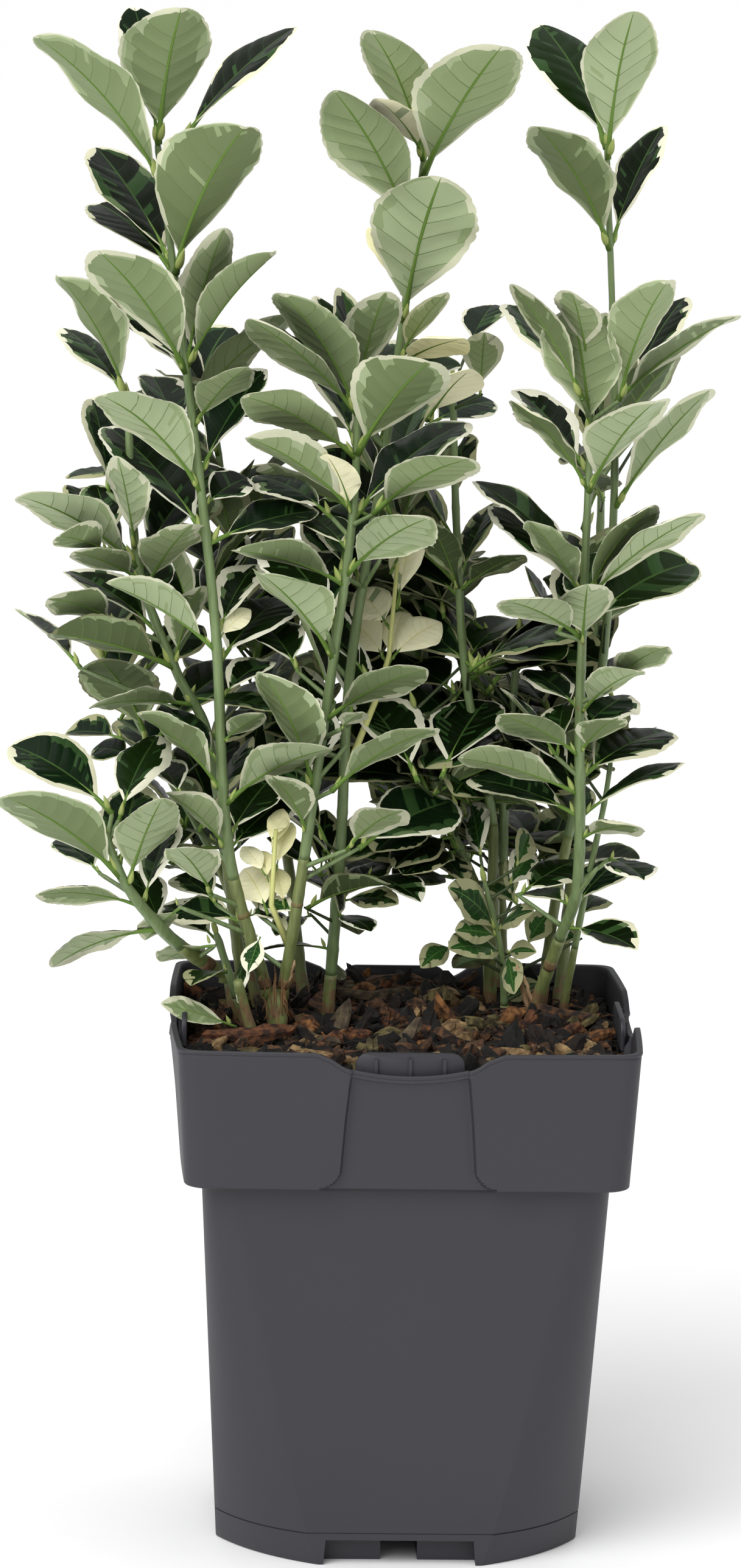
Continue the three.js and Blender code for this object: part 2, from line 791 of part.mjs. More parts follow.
function leafPoints(leaf, fromLength) {
  const points = [];
  for (let run = fromLength; run <= leaf.length + 0.5; run += SAMPLE) {
    const share = Math.min(run / leaf.length, 1);
    const across = Math.max(1, Math.ceil(leaf.width / 2 / SAMPLE));
    for (let i = -across; i <= across; i++) {
      points.push(leafPoint(leaf, share, i / across).toArray());
    }
  }
  return points;
}

function tooLow(points) {
  return points.some(([x, y, z]) => {
    const overRim = Math.max(Math.abs(x), Math.abs(y)) > RIM_ZONE;
    return z < (overRim ? LOWEST_LEAF_OVER_RIM : LOWEST_LEAF);
  });
}

// A leaf finds its place by small turns; it is left out where none is free
function placeLeaf(leaf, owner, serial) {
  for (let i = 0; i < TRIES.length; i++) {
    const [turn, tilt, size] = TRIES[i];
    const tried = {
      ...leaf,
      turn: leaf.turn + turn,
      rise: leaf.rise + tilt,
      length: leaf.length * size,
      width: leaf.width * size,
    };
    const points = leafPoints(tried, 0);
    if (tooLow(points) || takenByOther(points, owner)) continue;
    const outer = leafPoints(tried, tried.length * FREE_SHARE);
    const keys = outer.map((point) => keyOf(...cellOf(point)));
    const crossed = keys.some((key) => takenByLeaf.has(key));
    if (crossed && i < STRICT_TRIES) continue;
    takeCells(points, owner);
    for (const key of keys) takenByLeaf.set(key, serial);
    return tried;
  }
  return null;
}

// Where a leaf is rooted: inside the twig, a little off its middle
function rootOf(cane, z, turn) {
  const [x, y] = caneAt(cane.way, z);
  const off = ROOT_OFF * caneRadius(cane, z);
  return [x + off * Math.cos(radians(turn)), y + off * Math.sin(radians(turn)), z];
}

// One leaf of a pair, with its small seeded differences
function makeLeaf(base, turn, rise, length, random) {
  return {
    base,
    turn: turn + mix(-TURN_DRIFT, TURN_DRIFT, random()),
    rise: rise + mix(-RISE_DRIFT, RISE_DRIFT, random()),
    length: length * between(LENGTH_SPREAD, random),
    width: length * LEAF_WIDTH_RATIO * between(WIDTH_SPREAD, random),
    bend: between(BEND, random),
    fold: between(FOLD, random),
    roll: mix(-ROLL_DRIFT, ROLL_DRIFT, random()),
  };
}

// All the twigs and leaves of one cane, by the same rule for every cane
function growCane(cane, owner) {
  const random = makeRandom(cane.seed);
  const leaves = [];
  const shoots = [];
  const low = cane.joints[0];
  const high = cane.joints[cane.joints.length - 1];
  let serial = owner * 1000;
  const tuft = [...(cane.tuft ?? [])];
  const addLeaf = (...values) => {
    serial += 1;
    const placed = placeLeaf(makeLeaf(...values, random), owner, serial);
    if (placed) leaves.push(placed);
  };
  for (let i = cane.joints.length - 1; i >= 0; i--) {
    const z = cane.joints[i];
    const share = (z - low) / (high - low);
    const centre = caneAt(cane.way, z);
    const turn = cane.turn + (90 + TWIST) * (cane.joints.length - 1 - i);
    const rise = mix(cane.rise[0], cane.rise[1], share);
    const length = mix(cane.leaf[0], cane.leaf[1], Math.min(1, share * FULL_SIZE_FROM));
    if (!(cane.fallen ?? []).includes(z)) {
      for (const side of [0, 1]) {
        const [tuftTurn, tuftRise, tuftLength] = tuft.shift() ?? [turn + 180 * side, rise, length];
        addLeaf(rootOf(cane, z, tuftTurn), tuftTurn, tuftRise, tuftLength);
      }
    }
    if (cane.shoots.includes(z)) {
      const side = random() < 0.5 ? 0 : 180;
      const shootTurn = turn + side + between(SHOOT_SPREAD, random);
      const shootRise = between(SHOOT_RISE, random);
      const shootLength = between(SHOOT_LENGTH, random);
      const across = radians(shootTurn);
      const up = radians(shootRise);
      const tip = [
        centre[0] + shootLength * Math.cos(up) * Math.cos(across),
        centre[1] + shootLength * Math.cos(up) * Math.sin(across),
        centre[2] + shootLength * Math.sin(up),
      ];
      const line = [0.25, 0.5, 0.75, 1].map((t) => centre.map((value, i) => mix(value, tip[i], t)));
      if (takenByOther(line, owner)) continue;
      takeCells(line, owner);
      shoots.push({ base: centre, tip });
      for (const quarter of [0, 1, 2, 3]) {
        const leafTurn = shootTurn + SHOOT_LEAF_TURN + 90 * quarter;
        addLeaf(tip, leafTurn, SHOOT_LEAF_RISES[quarter % 2], length * SHOOT_LEAF_SIZE);
      }
    }
  }
  return { leaves, shoots };
}

function shootSolid({ base, tip }) {
  const start = new THREE.Vector3(...base);
  const end = new THREE.Vector3(...tip);
  const along = end.clone().sub(start).normalize();
  end.addScaledVector(along, 0.8);
  const across = new THREE.Vector3(0, 0, 1).cross(along).normalize();
  const back = along.clone().cross(across);
  const ring = (centre, radius) =>
    [0, 1, 2].map((i) => {
      const angle = (2 * Math.PI * i) / 3;
      const point = centre.clone().addScaledVector(across, radius * Math.cos(angle));
      return point.addScaledVector(back, radius * Math.sin(angle)).toArray();
    });
  return loft([ring(start, SHOOT_RADII[0]), ring(end, SHOOT_RADII[1])]);
}

// Largest piece of a solid, without loose scraps and with sealed hollows filled
function wholePiece(solid) {
  const pieces = solid.simplify(FINEST).decompose().filter((piece) => piece.volume() > 0);
  return pieces.reduce((a, b) => (a.volume() > b.volume() ? a : b));
}

function foliageSolid(cane, owner) {
  const tip = cane.way[cane.way.length - 1][2];
  const { leaves, shoots } = growCane(cane, owner);
  const twig = caneSolid(cane, cane.leafy + GAP, tip, TWIG_SIDES, TWIG_STEP);
  const pieces = [...shoots.map(shootSolid), ...leaves.map(leafSolid)];
  return wholePiece(pieces.reduce((body, piece) => body.add(piece), twig));
}

function namedMesh(name, solid, material) {
  const data = solid.getMesh();
  const geometry = new THREE.BufferGeometry();
  geometry.setAttribute("position", new THREE.BufferAttribute(data.vertProperties, 3));
  geometry.setIndex(new THREE.BufferAttribute(data.triVerts, 1));
  geometry.computeVertexNormals();
  const mesh = new THREE.Mesh(geometry, material);
  mesh.name = name;
  return mesh;
}

// Every limb takes its space before any leaf does
const limbs = [
  ...TRUNKS.map((trunk) => ({ name: trunk.name, cane: trunk, top: trunk.way.at(-1)[2] })),
  ...CANES.map((cane) => ({ name: cane.name + "_cane", cane, top: cane.leafy })),
];
limbs.forEach(({ cane, top }, i) => {
  takeCells(limbPoints(cane, cane.way[0][2], top), FIRST_LIMB + i);
});
CANES.forEach((cane, i) => takeCells(limbPoints(cane, cane.leafy, cane.way.at(-1)[2]), i));

const plant = new THREE.Group();
const feet = limbs
  .filter(({ cane }) => cane.way[0][2] === GROUND)
  .map(({ cane }) => [cane.way[0][0], cane.way[0][1], caneRadius(cane, GROUND)]);
plant.add(namedMesh("pot", potSolid(), potPlastic));
plant.add(namedMesh("bark_mulch", mulchSolid(feet), bark));
for (const { name, cane, top } of limbs) {
  plant.add(namedMesh(name, caneSolid(cane, cane.way[0][2], top, LIMB_SIDES, LIMB_STEP), stemSkin));
}
CANES.forEach((cane, i) => {
  plant.add(namedMesh(cane.name + "_leaves", foliageSolid(cane, i), foliage));
});

// The origin lies on the ground under the middle of the whole plant
const box = new THREE.Box3().setFromObject(plant);
const middle = box.getCenter(new THREE.Vector3());
plant.position.set(-middle.x, -middle.y, 0);

const group = new THREE.Group();
group.add(plant);
export default group;
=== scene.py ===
"""A variegated Japanese spindle in a square nursery pot, dressed for rendering.

Lengths are in millimetres in the pot's own frame: x to the right, y away from the viewer,
z up, with the origin under the middle of the pot. to_metres() turns them into the row frame.
"""

import math

import bpy
import numpy as np
from mathutils import Matrix, Vector


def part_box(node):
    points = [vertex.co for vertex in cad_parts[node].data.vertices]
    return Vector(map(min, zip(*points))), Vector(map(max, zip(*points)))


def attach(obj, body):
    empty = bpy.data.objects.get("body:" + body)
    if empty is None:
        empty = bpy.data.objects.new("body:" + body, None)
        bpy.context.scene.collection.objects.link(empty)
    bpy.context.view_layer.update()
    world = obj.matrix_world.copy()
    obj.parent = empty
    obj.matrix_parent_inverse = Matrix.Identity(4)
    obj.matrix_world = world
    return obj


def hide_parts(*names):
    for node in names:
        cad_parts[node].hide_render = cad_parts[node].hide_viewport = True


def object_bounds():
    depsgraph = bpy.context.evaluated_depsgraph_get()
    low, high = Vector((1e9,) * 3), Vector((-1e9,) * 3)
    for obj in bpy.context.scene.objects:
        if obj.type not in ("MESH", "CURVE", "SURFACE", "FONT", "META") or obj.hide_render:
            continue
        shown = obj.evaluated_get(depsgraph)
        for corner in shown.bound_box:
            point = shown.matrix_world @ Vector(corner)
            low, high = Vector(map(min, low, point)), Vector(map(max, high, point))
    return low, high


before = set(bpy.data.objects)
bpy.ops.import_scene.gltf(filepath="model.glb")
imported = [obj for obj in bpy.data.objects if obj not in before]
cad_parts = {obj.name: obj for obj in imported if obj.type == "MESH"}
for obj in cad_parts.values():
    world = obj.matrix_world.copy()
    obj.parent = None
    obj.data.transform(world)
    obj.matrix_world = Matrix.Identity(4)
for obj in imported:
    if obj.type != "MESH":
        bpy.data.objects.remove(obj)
cad_box = [list(corner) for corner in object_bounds()]
pot_low, pot_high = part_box("pot")
SHIFT = np.array([(pot_low.x + pot_high.x) / 2, (pot_low.y + pot_high.y) / 2, pot_low.z])


def to_metres(points):
    return np.asarray(points, float) / 1000 + SHIFT


# Camera and room
CAMERA_AT = (-77.9, -1928.4, 553.7)
CAMERA_LOOK = (0.0343, 0.9853, -0.1672)
CAMERA_ROLL = 1.018
CAMERA_LENS = 149.9
SENSOR = 36
FLOOR_HALF = 20
SUN_SPREAD = 0.9

# Limbs and foliage: the same way points and the same rule as the solids
GROUND = 147.3
TRUNKS = [
    dict(name="left_trunk", way=[[-37, 0, GROUND], [-38.4, 0, 163]], girth=[5, 8.4]),
    dict(name="left_rear_trunk", way=[[-49, 22, GROUND], [-50.6, 20.2, 164]], girth=[5, 8.4]),
    dict(
        name="right_rear_trunk", girth=[5, 9.4],
        way=[[29, 46, GROUND], [28.4, 44, 168], [28.2, 42.6, 186]],
    ),
]
# Canes in the order in which they take their space: way points from foot or fork to tip, girth at both
# ends, the height where foliage starts, the heights of leaf pairs and side shoots, the turn of the pairs,
# leaf length and rise at the lowest and highest pair, and turn, rise and length of the uppermost leaves
CANES = [
    dict(
        name="left_tall", seed=197, girth=[4.6, 2.4], leafy=198, turn=-65, leaf=[34, 46], rise=[36, 60],
        way=[[-41, 0, 163.3], [-53, -6, 206], [-58, -11, 275], [-66, -14, 340], [-77, -16, 419]],
        joints=[210, 227, 269, 303, 322, 338, 353, 381, 404, 418],
        shoots=[303, 353],
        tuft=[
            [-67, 72, 45], [121, 71, 42], [-158, 52, 55], [2, 46, 45], [-36, 63, 45], [132, 48, 42],
            [-142, 51, 45], [33, 50, 42],
        ],
    ),
    dict(
        name="middle_front", seed=277, girth=[4.4, 2.6], leafy=205, turn=-73, leaf=[34, 42],
        rise=[38, 46],
        way=[[-36, 0, 163.3], [-33, -5, 185], [-24, -15, 258], [-18, -18, 310], [-17, -18, 346]],
        joints=[214, 229, 268, 277, 286, 297, 311, 322, 333, 345],
        shoots=[229, 268, 297],
        tuft=[
            [-75, 54, 38], [144, 46, 42], [-156, 24, 38], [40, 45, 38], [-54, 47, 42], [128, 40, 38],
            [-154, 35, 42], [37, 32, 42],
        ],
    ),
    dict(
        name="right_front", seed=325, girth=[4.8, 2.4], leafy=178, turn=31, leaf=[33, 41],
        rise=[24, 56],
        way=[[39, 24, GROUND], [47, 10, 176], [52, 1, 195], [51, -8, 252], [52, -13, 340]],
        joints=[192, 208, 220, 230, 239, 254, 264, 275, 286, 295, 307, 322, 339],
        shoots=[192, 230, 275],
        tuft=[
            [-102, 59, 40], [54, 46, 42], [124, 34, 40], [-61, 41, 42], [-125, 40, 36], [60, 35, 36],
            [148, 34, 42], [-54, 35, 36], [-144, 39, 38], [-21, 36, 42], [-138, 22, 34], [39, 23, 40],
        ],
    ),
    dict(
        name="left_low", seed=380, girth=[5.6, 2.6], leafy=176, turn=-28, leaf=[32, 41], rise=[2, 44],
        way=[[-53, 18, 164.3], [-64, 6, 173], [-73, -4, 182.5], [-84, -13, 198], [-90, -17, 214]],
        joints=[182, 193, 202, 213],
        shoots=[193],
        tuft=[
            [142, 22, 38], [-60, 56, 32], [-161, 37, 44], [70, 40, 34], [-147, 11, 36], [70, 43, 32],
            [-143, -8, 36], [118, 25, 26],
        ],
    ),
    dict(
        name="middle_tall", seed=439, girth=[4.8, 2.6], leafy=164, turn=64, leaf=[26, 45],
        rise=[14, 62],
        way=[[-22, 23, GROUND], [-19, 16, 203], [-17, 10, 260], [-8, 6, 326], [2, 4, 414]],
        joints=[172, 186, 199, 215, 272, 284, 296, 356, 368, 386, 400, 413],
        fallen=[215], shoots=[186, 284],
        tuft=[
            [-139, 62, 44], [35, 55, 40], [-21, 61, 46], [150, 64, 46], [104, 30, 36], [-80, 40, 34],
            [-48, 74, 46], [128, 50, 38],
        ],
    ),
    dict(
        name="right_tall", seed=223, girth=[4.8, 2.4], leafy=205, turn=-74, leaf=[32, 44],
        rise=[22, 62],
        way=[[44, 42, GROUND], [49, 37, 192], [59, 30, 248], [62, 24, 318], [57, 20, 418]],
        joints=[216, 230, 246, 262, 282, 300, 318, 342, 367, 392, 417],
        fallen=[367], shoots=[262, 318],
        tuft=[
            [-79, 69, 46], [129, 50, 44], [-139, 49, 42], [59, 49, 38], [20, 32, 44], [112, 38, 40],
            [-41, 42, 42], [130, 35, 38],
        ],
    ),
    dict(
        name="left_second", seed=362, girth=[4.4, 2.6], leafy=200, turn=8, leaf=[32, 43], rise=[24, 50],
        way=[[-48.4, 22.4, 164.3], [-60, 12, 240], [-69, 8, 258], [-81, 2, 291], [-85, 0, 342]],
        joints=[210, 223, 237, 250, 262, 275, 290, 301, 313, 328, 341],
        shoots=[237, 262],
        tuft=[
            [-148, 55, 44], [32, 50, 36], [120, 30, 36], [-60, 45, 38],
        ],
    ),
    dict(
        name="left_rear_short", seed=83, girth=[4.2, 2.2], leafy=196, turn=42, leaf=[32, 37],
        rise=[18, 46],
        way=[[-42, 38, GROUND], [-54, 40, 190], [-76, 36, 230], [-92, 32, 260]],
        joints=[206, 219, 232, 246, 259],
        shoots=[219, 246],
    ),
    dict(
        name="right_rear", seed=97, girth=[3.8, 2.4], leafy=195, turn=44, leaf=[36, 39], rise=[34, 50],
        way=[[32, 44.2, 186.3], [32, 43, 220], [34, 45, 245], [36, 48, 276]],
        joints=[203, 214, 226, 238, 250, 263, 275],
        shoots=[214, 238, 263],
    ),
    dict(
        name="middle_rear", seed=46, girth=[3.8, 2.4], leafy=208, turn=-56, leaf=[36, 40],
        rise=[34, 58],
        way=[[28.6, 40.6, 186.3], [28, 38, 210], [19, 34, 253], [15, 31, 300], [13, 32, 345]],
        joints=[217, 230, 242, 255, 268, 281, 294, 306, 319, 332, 344],
        shoots=[255, 281],
    ),
    dict(
        name="middle_low", seed=107, girth=[3.6, 2.2], leafy=192, turn=35, leaf=[35, 38], rise=[34, 50],
        way=[[24.5, 42.9, 186.3], [12, 36, 215], [3, 31, 246]],
        joints=[200, 211, 222, 234, 245],
        shoots=[211, 234],
    ),
    dict(
        name="right_low", seed=109, girth=[3.8, 2.2], leafy=172, turn=-45, leaf=[24, 34], rise=[14, 46],
        way=[[50, 32, GROUND], [56, 22, 190], [61, 14, 222], [63, 9, 246]],
        joints=[181, 193, 206, 219, 232, 245],
        shoots=[193, 219],
    ),
    dict(
        name="left_inner", seed=111, girth=[4.2, 2.2], leafy=176, turn=38, leaf=[31, 37], rise=[20, 52],
        way=[[-44, -9, GROUND], [-58, -22, 196], [-70, -29, 225], [-80, -32, 248]],
        joints=[185, 197, 209, 222, 235, 247],
        shoots=[197, 222],
    ),
    dict(
        name="left_basal", seed=112, girth=[3.4, 2], leafy=159, turn=25, leaf=[26, 33], rise=[16, 52],
        way=[[-46, 10, GROUND], [-54, 7, 172], [-64, 3, 204]],
        joints=[167, 176, 185, 194, 203],
        shoots=[185],
    ),
    dict(
        name="low_fresh", seed=113, girth=[3, 1.8], leafy=153, turn=20, leaf=[20, 25], rise=[8, 50],
        way=[[33, 32, GROUND], [31, 28, 170], [25, 22, 194]],
        joints=[160, 168, 176, 185, 193],
        shoots=[176],
    ),
    dict(
        name="rear_left", seed=127, girth=[5, 2.4], leafy=196, turn=48, leaf=[32, 42], rise=[26, 58],
        way=[[-28, 44, GROUND], [-38, 53, 220], [-54, 60, 300], [-62, 62, 352]],
        joints=[206, 222, 238, 254, 270, 286, 301, 318, 335, 351],
        shoots=[222, 286],
    ),
    dict(
        name="rear_middle", seed=131, girth=[4.8, 2.4], leafy=192, turn=-42, leaf=[32, 41],
        rise=[26, 56],
        way=[[33, 58, GROUND], [31, 60, 190], [12, 64, 240], [-8, 67, 322]],
        joints=[201, 218, 234, 250, 264, 278, 292, 307, 321],
        shoots=[250],
    ),
    dict(
        name="rear_right", seed=149, girth=[5.2, 2.4], leafy=190, turn=46, leaf=[32, 43], rise=[26, 60],
        way=[[50, 46, GROUND], [56, 56, 220], [61, 66, 300], [58, 70, 372]],
        joints=[201, 217, 233, 249, 265, 281, 297, 314, 333, 352, 371],
        shoots=[233, 281],
    ),
]

# Leaves read in the photo, cane by cane: the pixels of foot and tip, across and down, the width in
# pixels, the length in millimetres, the face that shows and, where it is not green, the look
UNDER, UPPER = -1, 1
SEEN = {
    "left_tall": [
        (272, 238, 302, 0, 142, 45, UNDER), (262, 238, 222, 12, 84, 43, UPPER),
        (300, 232, 488, 46, 42, 48, UPPER), (246, 306, 43, 36, 88, 61, UNDER),
        (303, 450, 402, 208, 148, 49, UNDER), (268, 440, 158, 246, 88, 43, UPPER),
        (266, 450, 160, 338, 92, 38, UPPER), (283, 600, 203, 505, 76, 38, UPPER),
        (287, 612, 163, 412, 105, 44, UNDER), (322, 600, 454, 414, 32, 43, UNDER),
        (305, 598, 368, 374, 70, 43, UNDER), (285, 618, 192, 472, 66, 38, UPPER),
        (322, 805, 167, 650, 88, 42, UNDER), (322, 882, 183, 702, 92, 44, UPPER),
        (345, 776, 438, 606, 62, 38, UPPER), (326, 700, 408, 598, 60, 28, UNDER),
        (352, 892, 518, 838, 52, 36, UPPER), (348, 830, 405, 785, 58, 20, UPPER),
        (347, 1068, 180, 958, 44, 40, UNDER), (352, 1045, 416, 925, 64, 34, UPPER),
        (362, 1090, 458, 985, 90, 36, UPPER), (360, 1052, 412, 1038, 36, 14, UNDER, "cream"),
        (365, 1150, 447, 1088, 46, 26, UPPER), (372, 1320, 538, 1228, 62, 38, UNDER),
        (352, 1300, 228, 1168, 42, 36, UNDER), (348, 1255, 266, 1155, 52, 30, UPPER),
        (368, 1395, 275, 1300, 46, 30, UNDER), (388, 1380, 445, 1275, 72, 32, UPPER),
        (366, 1220, 430, 1172, 38, 18, UNDER), (350, 1470, 290, 1392, 70, 26, UNDER),
        (388, 1515, 283, 1500, 50, 26, UPPER), (358, 1490, 285, 1440, 54, 26, UPPER),
        (395, 1508, 467, 1506, 24, 18, UPPER), (300, 1492, 237, 1545, 36, 18, UNDER),
    ],
    "middle_front": [
        (490, 1105, 425, 1020, 70, 30, UPPER), (478, 1540, 440, 1572, 36, 12, UPPER, "cream"),
        (603, 748, 705, 592, 130, 43, UNDER), (583, 680, 458, 482, 74, 43, UNDER),
        (603, 640, 632, 478, 82, 38, UNDER), (590, 680, 562, 475, 60, 40, UPPER),
        (584, 684, 520, 485, 56, 40, UPPER), (568, 680, 410, 522, 50, 42, UNDER),
        (580, 752, 400, 652, 66, 42, UNDER), (580, 842, 408, 718, 60, 42, UNDER),
        (592, 742, 515, 588, 50, 38, UPPER), (603, 848, 765, 692, 66, 44, UPPER),
        (615, 842, 770, 752, 76, 40, UNDER), (592, 945, 705, 850, 86, 34, UNDER),
        (562, 1078, 435, 940, 76, 42, UNDER), (568, 962, 388, 905, 46, 42, UNDER),
        (585, 907, 505, 850, 50, 28, UPPER), (545, 852, 418, 782, 46, 34, UPPER),
        (532, 1292, 440, 1105, 82, 40, UNDER), (545, 1300, 714, 1198, 46, 38, UNDER),
        (518, 1370, 448, 1275, 54, 28, UNDER), (555, 1182, 695, 1100, 60, 34, UNDER),
        (424, 1502, 440, 1450, 46, 15, UPPER, "fresh"), (494, 1500, 430, 1482, 34, 16, UPPER, "fresh"),
        (405, 1545, 394, 1648, 20, 22, UPPER), (560, 1200, 600, 1170, 30, 14, UNDER),
        (570, 1396, 668, 1330, 60, 27, UNDER), (592, 1392, 742, 1318, 104, 38, UPPER),
        (575, 845, 540, 745, 60, 26, UNDER, "cream"),
    ],
    "right_front": [
        (975, 718, 945, 507, 126, 43, UNDER), (1018, 655, 1098, 460, 84, 43, UNDER),
        (960, 655, 842, 468, 46, 42, UNDER), (945, 650, 828, 500, 50, 42, UPPER),
        (962, 590, 937, 480, 62, 34, UNDER), (962, 782, 850, 640, 56, 38, UPPER),
        (957, 800, 845, 655, 36, 38, UNDER), (980, 805, 1080, 655, 80, 40, UNDER),
        (940, 950, 780, 792, 42, 46, UPPER), (950, 985, 875, 853, 54, 36, UNDER),
        (945, 975, 810, 830, 52, 42, UPPER), (965, 985, 1072, 828, 50, 40, UNDER),
        (970, 988, 1155, 843, 42, 47, UNDER), (975, 1030, 1135, 925, 108, 43, UPPER),
        (948, 1045, 830, 985, 56, 34, UNDER), (945, 1060, 962, 960, 90, 26, UNDER),
        (940, 1168, 862, 1100, 42, 30, UPPER), (957, 1172, 1050, 1103, 50, 32, UNDER),
        (1000, 1132, 1098, 1062, 50, 30, UNDER), (940, 1242, 825, 1175, 52, 34, UNDER),
        (958, 1275, 1100, 1200, 70, 38, UPPER), (955, 1235, 1012, 1180, 50, 26, UNDER),
        (972, 1202, 1030, 1140, 66, 27, UPPER), (945, 1302, 755, 1240, 46, 40, UNDER),
        (940, 1342, 775, 1283, 50, 40, UPPER), (960, 1342, 1122, 1253, 24, 38, UPPER),
        (960, 1495, 1025, 1410, 62, 32, UPPER), (855, 1472, 945, 1412, 56, 28, UPPER),
        (950, 1488, 853, 1468, 26, 26, UPPER), (950, 1525, 1045, 1560, 42, 27, UPPER),
        (1000, 1412, 1062, 1445, 42, 25, UPPER), (955, 1378, 1056, 1360, 30, 30, UNDER),
    ],
    "left_low": [
        (182, 1438, 3, 1300, 84, 45, UNDER), (182, 1335, 22, 1225, 94, 38, UPPER),
        (197, 1350, 268, 1208, 72, 36, UPPER), (212, 1455, 262, 1312, 88, 36, UNDER),
        (225, 1487, 57, 1468, 32, 34, UNDER), (245, 1525, 88, 1586, 32, 34, UNDER),
        (243, 1490, 283, 1350, 52, 34, UPPER), (165, 1435, 92, 1380, 42, 22, UPPER),
        (352, 1556, 262, 1580, 24, 22, UNDER),
    ],
    "middle_tall": [
        (540, 1500, 605, 1528, 26, 20, UPPER), (520, 1575, 556, 1612, 18, 16, UNDER),
        (505, 1492, 640, 1452, 34, 32, UNDER), (512, 1505, 452, 1538, 26, 20, UPPER),
        (686, 262, 610, 45, 88, 46, UNDER), (712, 292, 845, 72, 130, 50, UNDER),
        (658, 385, 553, 150, 112, 47, UNDER), (672, 530, 720, 292, 168, 47, UNDER),
        (718, 292, 728, 96, 56, 40, UPPER), (682, 256, 615, 160, 52, 30, UNDER, "cream"),
        (645, 490, 607, 382, 42, 26, UNDER, "cream"), (655, 590, 732, 480, 40, 30, UNDER),
        (657, 575, 702, 500, 32, 22, UPPER), (660, 602, 765, 555, 46, 28, UNDER, "cream"),
        (700, 690, 772, 605, 70, 28, UNDER, "cream"), (562, 1488, 640, 1414, 44, 24, UPPER),
        (572, 1480, 652, 1484, 34, 22, UPPER), (600, 1440, 696, 1482, 34, 26, UPPER),
        (548, 1500, 592, 1535, 32, 15, UNDER), (530, 1400, 558, 1500, 16, 24, UPPER),
    ],
    "right_tall": [
        (1012, 262, 1040, 3, 116, 50, UNDER), (985, 245, 888, 40, 92, 45, UPPER),
        (985, 408, 890, 205, 96, 47, UNDER), (1022, 402, 1088, 205, 60, 42, UPPER),
        (1030, 830, 1165, 638, 46, 46, UNDER), (1030, 660, 1213, 518, 38, 46, UNDER),
        (1040, 640, 1128, 487, 50, 38, UPPER),
    ],
    "left_second": [
        (213, 652, 97, 455, 62, 47, UNDER), (195, 655, 107, 535, 50, 36, UPPER),
        (222, 928, 38, 812, 76, 42, UNDER), (180, 810, 150, 655, 54, 34, UPPER),
        (215, 905, 195, 750, 60, 34, UNDER), (260, 968, 310, 862, 80, 32, UNDER),
        (262, 1042, 115, 938, 54, 40, UPPER), (228, 950, 120, 905, 46, 28, UNDER),
        (192, 1025, 75, 982, 58, 28, UNDER), (287, 1098, 85, 1040, 62, 42, UNDER),
        (292, 1090, 330, 960, 52, 32, UNDER), (135, 1100, 28, 1003, 22, 32, UPPER),
        (312, 1160, 150, 1160, 32, 38, UNDER), (178, 905, 100, 880, 60, 24, UNDER),
        (226, 942, 180, 900, 36, 18, UPPER),
    ],
    "left_rear_short": [
        (217, 1215, 160, 1082, 106, 36, UNDER), (205, 1215, 103, 1208, 36, 24, UPPER),
        (218, 1245, 148, 1232, 42, 20, UPPER),
    ],
    "right_rear": [
        (902, 1172, 835, 1105, 62, 30, UPPER), (790, 1400, 760, 1310, 46, 28, UPPER),
        (880, 1400, 830, 1330, 50, 28, UPPER),
    ],
    "middle_rear": [
        (770, 572, 808, 500, 58, 27, UPPER), (790, 652, 800, 545, 64, 29, UNDER),
        (705, 702, 810, 660, 60, 28, UPPER), (745, 832, 768, 715, 36, 28, UPPER),
        (757, 967, 705, 850, 56, 32, UNDER), (762, 952, 812, 825, 42, 34, UPPER),
        (762, 967, 862, 910, 36, 26, UNDER), (748, 982, 670, 930, 42, 26, UPPER),
    ],
    "middle_low": [
        (745, 1372, 645, 1425, 44, 30, UPPER), (772, 1400, 668, 1440, 46, 32, UPPER),
        (685, 1282, 625, 1150, 90, 34, UPPER), (722, 1272, 775, 1168, 94, 34, UPPER),
        (765, 1087, 838, 1015, 62, 27, UPPER), (750, 1140, 660, 1100, 60, 30, UPPER),
        (745, 1440, 650, 1450, 40, 26, UPPER), (700, 1390, 770, 1450, 34, 28, UPPER),
        (700, 1330, 620, 1400, 60, 34, UPPER),
    ],
    "low_fresh": [
        (790, 1410, 770, 1320, 44, 26, UPPER, "fresh"), (848, 1425, 868, 1368, 36, 20, UPPER, "fresh"),
        (820, 1528, 735, 1455, 50, 28, UPPER, "fresh"), (830, 1567, 733, 1558, 42, 26, UPPER, "fresh"),
        (742, 1555, 690, 1590, 38, 18, UPPER, "fresh"), (832, 1570, 848, 1632, 38, 20, UPPER, "fresh"),
        (835, 1568, 880, 1565, 32, 15, UPPER, "fresh"), (888, 1615, 835, 1640, 30, 16, UPPER, "fresh"),
        (850, 1485, 765, 1450, 28, 26, UPPER), (815, 1537, 750, 1528, 40, 20, UPPER, "fresh"),
        (812, 1527, 878, 1495, 28, 20, UPPER, "fresh"), (950, 1545, 918, 1530, 34, 12, UPPER),
        (868, 1552, 900, 1500, 44, 15, UPPER), (835, 1455, 878, 1400, 54, 20, UPPER, "fresh"),
        (815, 1575, 742, 1590, 26, 20, UNDER),
    ],
}
